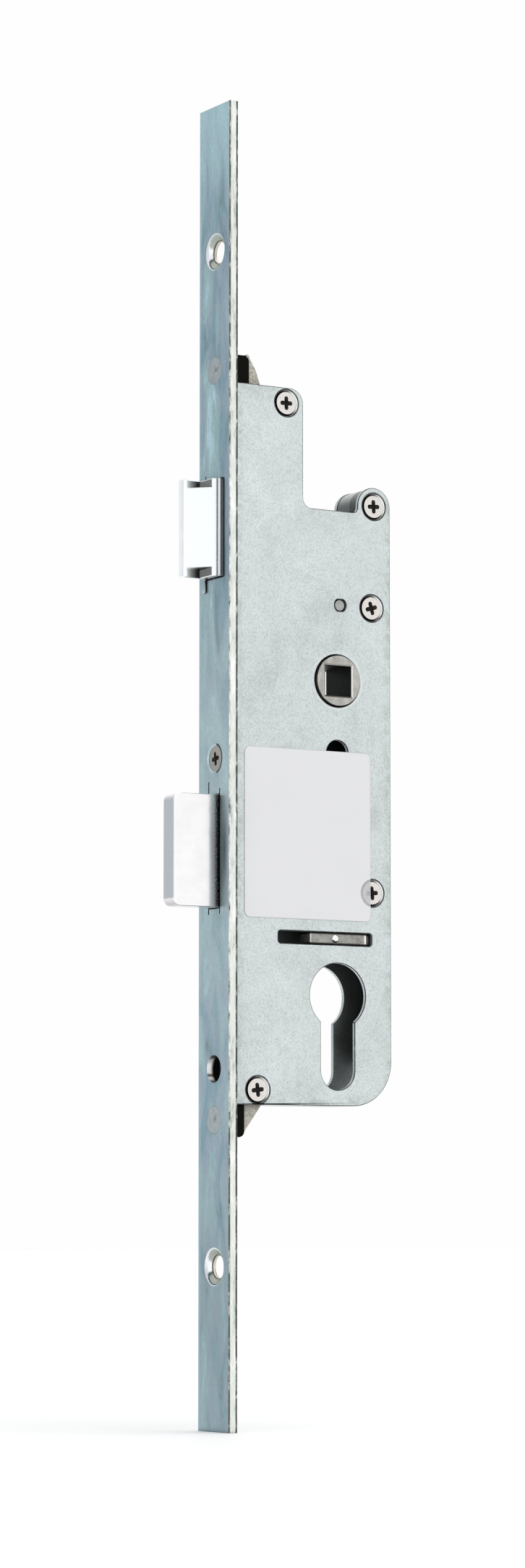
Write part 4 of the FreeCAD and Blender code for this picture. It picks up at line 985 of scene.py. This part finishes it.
def cut(piece, *tools):
    """Cuts each tool out of a piece and deletes the tool."""
    for tool in tools:
        knife = piece.modifiers.new("cut", "BOOLEAN")
        knife.operation = "DIFFERENCE"
        knife.solver = "EXACT"
        knife.object = tool
    apply_modifiers(piece)
    for tool in tools:
        bpy.data.objects.remove(tool)
    return piece


def soften(piece, ease, steps=2, angle=30.0):
    """Rounds a piece's arrises and shades it smooth between them."""
    bevel(piece, ease, steps, angle)
    apply_modifiers(piece)
    return shade(piece)


def copy_of(piece, name):
    """A copy with a mesh of its own."""
    deselect()
    twin = piece.copy()
    twin.data = piece.data.copy()
    twin.name = name
    bpy.context.scene.collection.objects.link(twin)
    return twin


def stand_at(piece, turn, place, axis):
    """Turns a piece that stands on Z to face along an axis, spins it and sets it down in its mesh."""
    spin = Matrix.Rotation(math.radians(turn), 4, "Z")
    facing = Vector(axis).to_track_quat("Z", "Y").to_matrix().to_4x4()
    piece.matrix_world = Matrix.Translation(Vector(place)) @ facing @ spin
    return place_in_mesh(piece)


def place_in_mesh(piece):
    """Moves a piece's place into its mesh, so that its object sits at the origin."""
    only(piece)
    bpy.ops.object.transform_apply(location=True, rotation=True, scale=True)
    return piece


def screw_places(node):
    """The middle of each separate solid of a frame part, from the top down."""
    mesh = frame["nodes"][node].data
    neighbours = {vertex.index: [] for vertex in mesh.vertices}
    for edge in mesh.edges:
        first, second = edge.vertices
        neighbours[first].append(second)
        neighbours[second].append(first)
    spots = {}
    for vertex in mesh.vertices:
        spots.setdefault(tuple(round(c / MM, 2) for c in vertex.co), []).append(vertex.index)
    for members in spots.values():
        for other in members[1:]:
            neighbours[members[0]].append(other)
            neighbours[other].append(members[0])
    seen = set()
    middles = []
    for start in neighbours:
        if start in seen:
            continue
        seen.add(start)
        group = []
        waiting = [start]
        while waiting:
            index = waiting.pop()
            group.append(mesh.vertices[index].co.copy())
            fresh = [other for other in neighbours[index] if other not in seen]
            seen.update(fresh)
            waiting += fresh
        low = Vector([min(co[axis] for co in group) for axis in range(3)])
        high = Vector([max(co[axis] for co in group) for axis in range(3)])
        middles.append((low + high) / 2)
    return sorted(middles, key=lambda middle: -middle.z)


# Settings

def length(name, description, default):
    """A size setting, in metres and shown in the scene's units."""
    return FloatProperty(name=name, description=description, default=default * MM, min=0.0, unit="LENGTH",
                         subtype="DISTANCE", precision=5)


def tint(name, description, default):
    """A colour setting."""
    return FloatVectorProperty(name=name, description=description, default=default, size=3, min=0.0,
                               max=1.0, subtype="COLOR")


class LockCaseSizes(bpy.types.PropertyGroup):
    """How far arrises are eased, and the sizes of the screws' heads."""
    sheet_ease: length("Sheet ease", "Rounding of the case sheets' cut edges", 0.22)
    plate_ease: length("Faceplate ease", "Rounding of the faceplate's edges", 0.3)
    bolt_ease: length("Bolt ease", "Rounding of the latch's and the deadbolt's edges", 0.3)
    casting_ease: length("Casting ease", "Rounding of the cast brackets and moulded packers", 0.45)
    small_ease: length("Small ease", "Rounding of the levers, the slider and the pin ends", 0.15)
    hub_ease: length("Hub ease", "Rounding of the follower's rims", 0.28)
    label_ease: length("Label ease", "Rounding of the label's edge", 0.05)
    dome_ease: length("Rivet dome", "Rounding of the slider rivet's end", 0.6)
    head_radius: length("Cover screw head", "Radius of a cover screw's flat head", 3.02)
    face_head_radius: length("Faceplate screw head", "Radius of the faceplate screw's head", 3.45)
    shank_radius: length("Cover screw shank", "Radius of a cover screw's shank", 1.5)
    face_shank_radius: length("Faceplate shank", "Radius of the faceplate screw's and rivets' shanks", 2.0)
    cross_size: length("Cross recess", "Length of a cross recess across its wings", 3.75)
    cross_wide: length("Recess wing", "Width of a cross recess's wing", 1.2)
    cross_depth: length("Recess depth", "Depth of a cross recess", 1.35)
    rivet_radius: length("Rivet head", "Radius of a faceplate rivet's flush head", 3.8)


class LockCaseColours(bpy.types.PropertyGroup):
    """The colours of the finishes."""
    sheet: tint("Case sheet", "Pale zinc of the case", (0.625, 0.675, 0.675))
    plate_shade: tint("Faceplate front", "Blue-grey zinc of the faceplate's front", (0.335, 0.455, 0.49))
    nickel: tint("Screw nickel", "Warm nickel of the cover screws", (0.722, 0.69, 0.659))
    face_nickel: tint("Faceplate screw", "Duller nickel of the faceplate's screw", (0.52, 0.47, 0.43))
    latch: tint("Latch", "Bright plate of the latch", (0.95, 0.95, 0.97))
    bolt: tint("Deadbolt", "Nickel of the deadbolt", (0.97, 0.96, 0.96))
    sintered: tint("Sintered", "Warm grey of sintered pieces", (0.46, 0.45, 0.42))
    slider: tint("Slider", "Darker grey of the sintered slider", (0.33, 0.325, 0.30))
    casting: tint("Casting", "Beige-grey of the cast brackets", (0.42, 0.40, 0.35))
    packer: tint("Packer", "Black nylon", (0.004, 0.004, 0.003))
    label: tint("Label", "Pale grey label", (0.70, 0.695, 0.705))
    steel: tint("Inner steel", "Plated steel inside the case", (0.42, 0.44, 0.42))
    bush: tint("Lug bush", "Turned steel of the bush behind the lug", (0.60, 0.62, 0.61))
    wire: tint("Spring wire", "Dark spring steel", (0.24, 0.23, 0.22))


def sizes():
    return bpy.context.scene.lock_case_sizes


def colours():
    return bpy.context.scene.lock_case_colours


def millimetres(setting):
    """A size setting's value in millimetres."""
    return getattr(sizes(), setting) / MM


def material_of(name, make, setting):
    """The named material, made at its first use from a colour setting."""
    return bpy.data.materials.get(name) or make(tuple(getattr(colours(), setting)))


def zinc_sheet():
    return material_of("passivated_sheet", passivated_sheet, "sheet")


def casting():
    return material_of("raw_casting", raw_casting, "casting")


def steel():
    return material_of("plated_steel", plated_steel, "steel")


def wire():
    return material_of("drawn_wire", drawn_wire, "wire")


# Operators

class LOCKCASE_OT_faceplate(bpy.types.Operator):
    """Eases the faceplate's edges and gives it its smeared zinc"""
    bl_idname = "lockcase.faceplate"
    bl_label = "Faceplate"

    def execute(self, context):
        paint = faceplate_bar(tuple(colours().plate_shade))
        eased("faceplate", "faceplate_dressed", millimetres("plate_ease"), paint)
        return {"FINISHED"}


class LOCKCASE_OT_sheets(bpy.types.Operator):
    """Eases the cover's cut edges and the bush, and finishes the case's two sheets"""
    bl_idname = "lockcase.sheets"
    bl_label = "Case Sheets"

    def execute(self, context):
        ease = millimetres("sheet_ease")
        # The cover's rounded edges get painted shade
        rim = sheared_edge(tuple(colours().sheet))
        eased("case_cover", "cover_sheet", ease, zinc_sheet(), rim=rim, clamp=False)
        eased("case_tray", "tray_sheet", 0, zinc_sheet())
        eased("lug_bush", "lug_bush_turned", ease / 2, bush_steel(tuple(colours().bush)))
        return {"FINISHED"}


def cross_screw(name, head_radius, shank_radius, long, material):
    """A countersunk screw on Z with its flat head's face at the origin and a tapered recess."""
    rim = 0.06
    cone = head_radius - shank_radius
    screw = turned_bar(name, [(shank_radius, -long), (shank_radius, -cone - rim),
                              (head_radius, -rim), (head_radius, 0.0)])
    size = millimetres("cross_size")
    cut(screw, *cross_bit(size, millimetres("cross_wide"), millimetres("cross_depth")))
    soften(screw, 0.09)
    dress(screw, material)
    reach = size / 2 + 0.1

    def inside(centre, normal):
        """Whether a face belongs to the recess, and not to the head's face, its cone or the shank."""
        radius = math.hypot(centre.x, centre.y)
        outward = (normal.x * centre.x + normal.y * centre.y) / max(radius, 0.01)
        at_shank = abs(radius - shank_radius) < 0.06 and outward > 0.5
        on_cone = centre.z > -cone - rim and outward > 0.3 and radius > shank_radius - 0.05
        in_recess = centre.z < -0.14 and radius < reach and centre.z > -long + 1
        return in_recess and not at_shank and not on_cone

    # The recess is painted black as shade
    paint_faces(screw, bpy.data.materials.get("soot_black") or soot_black(), inside)
    return screw


class LOCKCASE_OT_cover_screws(bpy.types.Operator):
    """Models one cover screw and copies it to the five countersinks"""
    bl_idname = "lockcase.cover_screws"
    bl_label = "Cover Screws"

    turns = (1.0, 3.0, 16.0, 5.0, 7.0)
    sunk = 0.1

    def execute(self, context):
        head_y = COVER_Y + self.sunk
        tip_y = corners("cover_screws")[1].y
        first = cross_screw("cover_screw_1", millimetres("head_radius"), millimetres("shank_radius"),
                            tip_y - head_y, satin_nickel(tuple(colours().nickel)))
        spots = screw_places("cover_screws")
        if len(spots) != len(self.turns):
            raise RuntimeError("the frame's cover_screws node does not hold five screws")
        screws = [first] + [copy_of(first, f"cover_screw_{number}") for number in range(2, len(spots) + 1)]
        for screw, turn, spot in zip(screws, self.turns, spots):
            stand_at(screw, turn, (spot.x, head_y * MM, spot.z), (0, -1, 0))
            settle(screw, screw.name, "case", slot_of_node("cover_screws"), "cover_screws")
        return {"FINISHED"}


class LOCKCASE_OT_faceplate_screw(bpy.types.Operator):
    """Models the screw that draws the faceplate to the case"""
    bl_idname = "lockcase.faceplate_screw"
    bl_label = "Faceplate Screw"

    turn = 8.0

    def execute(self, context):
        low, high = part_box("faceplate_screw")
        dull = dull_nickel(tuple(colours().face_nickel))
        screw = cross_screw("faceplate_screw_turned", millimetres("face_head_radius"),
                            millimetres("face_shank_radius"), (high.x - low.x) / MM, dull)
        stand_at(screw, self.turn, (low.x, 0.0, (low.z + high.z) / 2), (-1, 0, 0))
        settle(screw, "faceplate_screw_turned", "case", slot_of_node("faceplate_screw"), "faceplate_screw")
        return {"FINISHED"}


class LOCKCASE_OT_rivets(bpy.types.Operator):
    """Models the flush rivets with their struck dimples"""
    bl_idname = "lockcase.rivets"
    bl_label = "Faceplate Rivets"

    turns = (10.0, 70.0)
    shank_length = 8.5
    head_height = 1.2
    head_play = 0.02
    dimple_radius = 1.5
    dimple_place = (0.5, 0.2, 1.05)
    dimple_shape = (1.25, 0.8, 1.0)

    def execute(self, context):
        radius = millimetres("rivet_radius") - self.head_play
        shank = millimetres("face_shank_radius")
        spots = screw_places("faceplate_rivets")
        if len(spots) != len(self.turns):
            raise RuntimeError("the frame's faceplate_rivets node does not hold two rivets")
        under_head = -self.head_height - 0.05
        first = turned_bar("faceplate_rivet_1", [(shank, -self.shank_length), (shank, under_head),
                                                 (radius, -self.head_height), (radius, 0.0)])
        place = [side * MM for side in self.dimple_place]
        deselect()
        bpy.ops.mesh.primitive_uv_sphere_add(segments=32, ring_count=16, radius=self.dimple_radius * MM,
                                             location=place)
        ball = bpy.context.object
        bpy.ops.transform.resize(value=self.dimple_shape, center_override=place)
        bpy.ops.object.transform_apply(location=True, rotation=True, scale=True)
        cut(first, ball)
        soften(first, 0.07, steps=2, angle=24.0)
        dress(first, rivet_zinc())
        second = copy_of(first, "faceplate_rivet_2")
        for rivet, turn, spot in zip((first, second), self.turns, spots):
            stand_at(rivet, turn, ((FRONT_X + self.head_play) * MM, 0.0, spot.z), (-1, 0, 0))
            settle(rivet, rivet.name, "case", slot_of_node("faceplate_rivets"), "faceplate_rivets")
        return {"FINISHED"}


class LOCKCASE_OT_latch(bpy.types.Operator):
    """Eases the bevelled latch and dresses its tail, lever, pin and clip"""
    bl_idname = "lockcase.latch"
    bl_label = "Latch"

    def execute(self, context):
        chrome = latch_chrome(tuple(colours().latch))
        eased("latch_bolt", "latch_bolt_polished", millimetres("bolt_ease"), chrome)
        small = millimetres("small_ease")
        eased("latch_guide_clip", "latch_clip_bent", small, zinc_sheet())
        eased("latch_tail", "latch_tail_turned", small, steel())
        eased("latch_lever", "latch_lever_pressed", small, steel())
        eased("latch_lever_pin", "latch_pin_turned", small, steel())
        return {"FINISHED"}


class LOCKCASE_OT_deadbolt(bpy.types.Operator):
    """Eases the deadbolt, its tail and its lever"""
    bl_idname = "lockcase.deadbolt"
    bl_label = "Deadbolt"

    def execute(self, context):
        eased("deadbolt", "deadbolt_plated", millimetres("bolt_ease"), deadbolt_nickel(tuple(colours().bolt)))
        small = millimetres("small_ease")
        eased("deadbolt_tail", "deadbolt_tail_pressed", small, steel())
        eased("deadbolt_lever", "deadbolt_lever_pressed", small, steel())
        return {"FINISHED"}


class LOCKCASE_OT_ends(bpy.types.Operator):
    """Rounds the cast brackets and the moulded packers at both ends of the case"""
    bl_idname = "lockcase.ends"
    bl_label = "End Brackets and Packers"

    def execute(self, context):
        ease = millimetres("casting_ease")
        nylon = moulded_nylon(tuple(colours().packer))
        for end in ("upper", "lower"):
            eased(f"{end}_packer", f"{end}_packer_moulded", ease, nylon, steps=3)
            eased(f"{end}_end_bracket", f"{end}_bracket_cast", ease, casting(), steps=3)
        return {"FINISHED"}


class LOCKCASE_OT_follower(bpy.types.Operator):
    """Eases the sintered follower round its spindle square"""
    bl_idname = "lockcase.follower"
    bl_label = "Follower"

    def execute(self, context):
        paint = hub_powder(tuple(colours().sintered))
        eased("follower", "follower_sintered", millimetres("hub_ease"), paint, steps=3)
        return {"FINISHED"}


class LOCKCASE_OT_slider(bpy.types.Operator):
    """Eases the cylinder's slider and its rivet"""
    bl_idname = "lockcase.slider"
    bl_label = "Cylinder Slider"

    def execute(self, context):
        paint = slider_powder(tuple(colours().slider))
        eased("cylinder_slider", "slider_sintered", millimetres("small_ease"), paint)
        eased("slider_rivet", "slider_rivet_polished", millimetres("dome_ease"), rivet_dome(), steps=5)
        return {"FINISHED"}


class LOCKCASE_OT_label(bpy.types.Operator):
    """Gives the blank label a soft paper edge"""
    bl_idname = "lockcase.label"
    bl_label = "Blank Label"

    def execute(self, context):
        eased("blank_label", "label_blank", millimetres("label_ease"), coated_paper(tuple(colours().label)))
        return {"FINISHED"}


class LOCKCASE_OT_inner(bpy.types.Operator):
    """Gives every piece that stays as built its procedural finish"""
    bl_idname = "lockcase.inner"
    bl_label = "Inner Finishes"

    def execute(self, context):
        finishes = {"spring_steel": wire, "plain_steel": steel}
        for node, piece in frame["nodes"].items():
            if piece.hide_render:
                continue
            slot = slot_of_node(node)
            if slot not in finishes:
                raise RuntimeError(f"no finish is set for {node}")
            dress(piece, finishes[slot]())
        return {"FINISHED"}


class LOCKCASE_OT_stage(bpy.types.Operator):
    """Sets the pale floor, the soft light and the camera at the photo's angle"""
    bl_idname = "lockcase.stage"
    bl_label = "Stage"

    camera_place = (-0.60156, -0.9675, -0.14478)
    camera_yaw = 31.011
    camera_pitch = 5.882
    camera_lens = 97.22
    camera_sensor = 36.0
    near_clip = 0.01
    floor_size = 12.0
    floor_white = (0.9, 0.92)
    far_glow = 0.16
    near_floor = 1400.0
    sky_strength = 1.0
    sky_seen = (0.99, 0.99, 0.99)
    sky_heights = (0.25, 0.7)
    sky_stops = (
        (0.0, (0.46, 0.52, 0.55)),
        (0.3, (0.62, 0.68, 0.70)),
        (0.62, WHITE),
        (0.85, WHITE),
    )
    lamps = (
        ("front_softbox", (-0.2, -1.5, 0.7), (0, 0, -0.02), 1.3, 3.0),
        ("left_softbox", (-1.5, -0.5, 0.2), (0, 0, -0.02), 0.9, 1.5),
        ("top_softbox", (0.3, -0.3, 1.5), (0, 0, 0.0), 0.8, 5.0),
    )

    def execute(self, context):
        self.floor()
        self.sky(context.scene)
        for lamp in self.lamps:
            self.lamp(*lamp)
        self.camera(context.scene)
        context.scene.view_settings.view_transform = "Standard"
        return {"FINISHED"}

    def floor(self):
        """A plain floor, lifted to white where it is far from the object."""
        deselect()
        bpy.ops.mesh.primitive_plane_add(size=self.floor_size, location=(0, 0, PLATE_LOW.z * MM))
        floor = bpy.context.object
        floor.name = "studio_floor"
        finish = Finish("studio_floor", roughness=0.6)
        dull, bright = self.floor_white
        finish.colour(finish.ramp(finish.noise(300.0), (0.3, dull), (0.7, bright)))
        far = finish.sum("SUBTRACT", 1.0, finish.ring(0.0, 0.0, 0.0, self.near_floor, "XY"))
        finish.colour_glow(finish.both(far, self.far_glow))
        dress(floor, finish.material)

    def sky(self, scene):
        """White behind the object; what the metal reflects is bright ahead and greyer to the left."""
        world = bpy.data.worlds.new("studio")
        scene.world = world
        world.use_nodes = True
        nodes = world.node_tree.nodes
        link = world.node_tree.links.new
        nodes.clear()
        split = nodes.new("ShaderNodeSeparateXYZ")
        link(nodes.new("ShaderNodeTexCoord").outputs["Generated"], split.inputs[0])
        span = self.mapped(nodes, -1.0, 1.0)
        link(split.outputs["X"], span.inputs["Value"])
        above = self.mapped(nodes, *self.sky_heights)
        link(split.outputs["Z"], above.inputs["Value"])
        around = nodes.new("ShaderNodeValToRGB")
        link(span.outputs[0], around.inputs["Fac"])
        elements = around.color_ramp.elements
        while len(elements) < len(self.sky_stops):
            elements.new(1.0)
        for element, (position, colour) in zip(elements, self.sky_stops):
            element.position = position
            element.color = (*colour, 1.0)
        blend = nodes.new("ShaderNodeMix")
        blend.data_type = "RGBA"
        link(above.outputs[0], blend.inputs["Factor"])
        link(around.outputs["Color"], blend.inputs["A"])
        blend.inputs["B"].default_value = (*WHITE, 1.0)
        lit = nodes.new("ShaderNodeBackground")
        link(blend.outputs["Result"], lit.inputs["Color"])
        lit.inputs["Strength"].default_value = self.sky_strength
        seen = nodes.new("ShaderNodeBackground")
        seen.inputs["Color"].default_value = (*self.sky_seen, 1.0)
        shader = nodes.new("ShaderNodeMixShader")
        link(nodes.new("ShaderNodeLightPath").outputs["Is Camera Ray"], shader.inputs["Fac"])
        link(lit.outputs[0], shader.inputs[1])
        link(seen.outputs[0], shader.inputs[2])
        link(shader.outputs[0], nodes.new("ShaderNodeOutputWorld").inputs["Surface"])

    def mapped(self, nodes, low, high):
        """A node that maps a range of the view's direction to 0 to 1."""
        made = nodes.new("ShaderNodeMapRange")
        made.inputs["From Min"].default_value = low
        made.inputs["From Max"].default_value = high
        return made

    def lamp(self, name, place, target, size, power):
        """A round softbox, aimed at a target."""
        data = bpy.data.lights.new(name, "AREA")
        data.shape = "DISK"
        data.size = size
        data.energy = power
        lamp = bpy.data.objects.new(name, data)
        bpy.context.scene.collection.objects.link(lamp)
        lamp.location = place
        lamp.rotation_mode = "QUATERNION"
        lamp.rotation_quaternion = (Vector(target) - Vector(place)).to_track_quat("-Z", "Y")

    def camera(self, scene):
        """The camera at the photo's place, height and angle."""
        data = bpy.data.cameras.new("photo_camera")
        data.sensor_width = self.camera_sensor
        data.sensor_fit = "AUTO"
        data.lens = self.camera_lens
        data.clip_start = self.near_clip
        camera = bpy.data.objects.new("photo_camera", data)
        scene.collection.objects.link(camera)
        yaw = math.radians(self.camera_yaw)
        pitch = math.radians(self.camera_pitch)
        ahead = Vector((math.sin(yaw) * math.cos(pitch), math.cos(yaw) * math.cos(pitch), math.sin(pitch)))
        camera.location = self.camera_place
        camera.rotation_mode = "QUATERNION"
        camera.rotation_quaternion = ahead.to_track_quat("-Z", "Y")
        scene.camera = camera


class LOCKCASE_PT_panel(bpy.types.Panel):
    """The lock case's settings and steps"""
    bl_idname = "LOCKCASE_PT_panel"
    bl_label = "Lock Case"
    bl_space_type = "VIEW_3D"
    bl_region_type = "UI"
    bl_category = "Lock Case"

    def draw(self, context):
        for settings in (context.scene.lock_case_sizes, context.scene.lock_case_colours):
            column = self.layout.column(align=True)
            for name in settings.__annotations__:
                column.prop(settings, name)
        column = self.layout.column(align=True)
        for step in STEPS:
            column.operator(step.bl_idname)


STEPS = (
    LOCKCASE_OT_faceplate,
    LOCKCASE_OT_sheets,
    LOCKCASE_OT_cover_screws,
    LOCKCASE_OT_faceplate_screw,
    LOCKCASE_OT_rivets,
    LOCKCASE_OT_latch,
    LOCKCASE_OT_deadbolt,
    LOCKCASE_OT_ends,
    LOCKCASE_OT_follower,
    LOCKCASE_OT_slider,
    LOCKCASE_OT_label,
    LOCKCASE_OT_inner,
    LOCKCASE_OT_stage,
)
CLASSES = (LockCaseSizes, LockCaseColours, *STEPS, LOCKCASE_PT_panel)


def register():
    for kind in CLASSES:
        bpy.utils.register_class(kind)
    bpy.types.Scene.lock_case_sizes = PointerProperty(type=LockCaseSizes)
    bpy.types.Scene.lock_case_colours = PointerProperty(type=LockCaseColours)


def unregister():
    del bpy.types.Scene.lock_case_colours
    del bpy.types.Scene.lock_case_sizes
    for kind in reversed(CLASSES):
        bpy.utils.unregister_class(kind)


def main():
    register()
    for step in STEPS:
        group, action = step.bl_idname.split(".")
        done = getattr(getattr(bpy.ops, group), action)()
        if done != {"FINISHED"}:
            raise RuntimeError(f"{step.bl_label} did not finish")


if __name__ == "__main__":
    main()
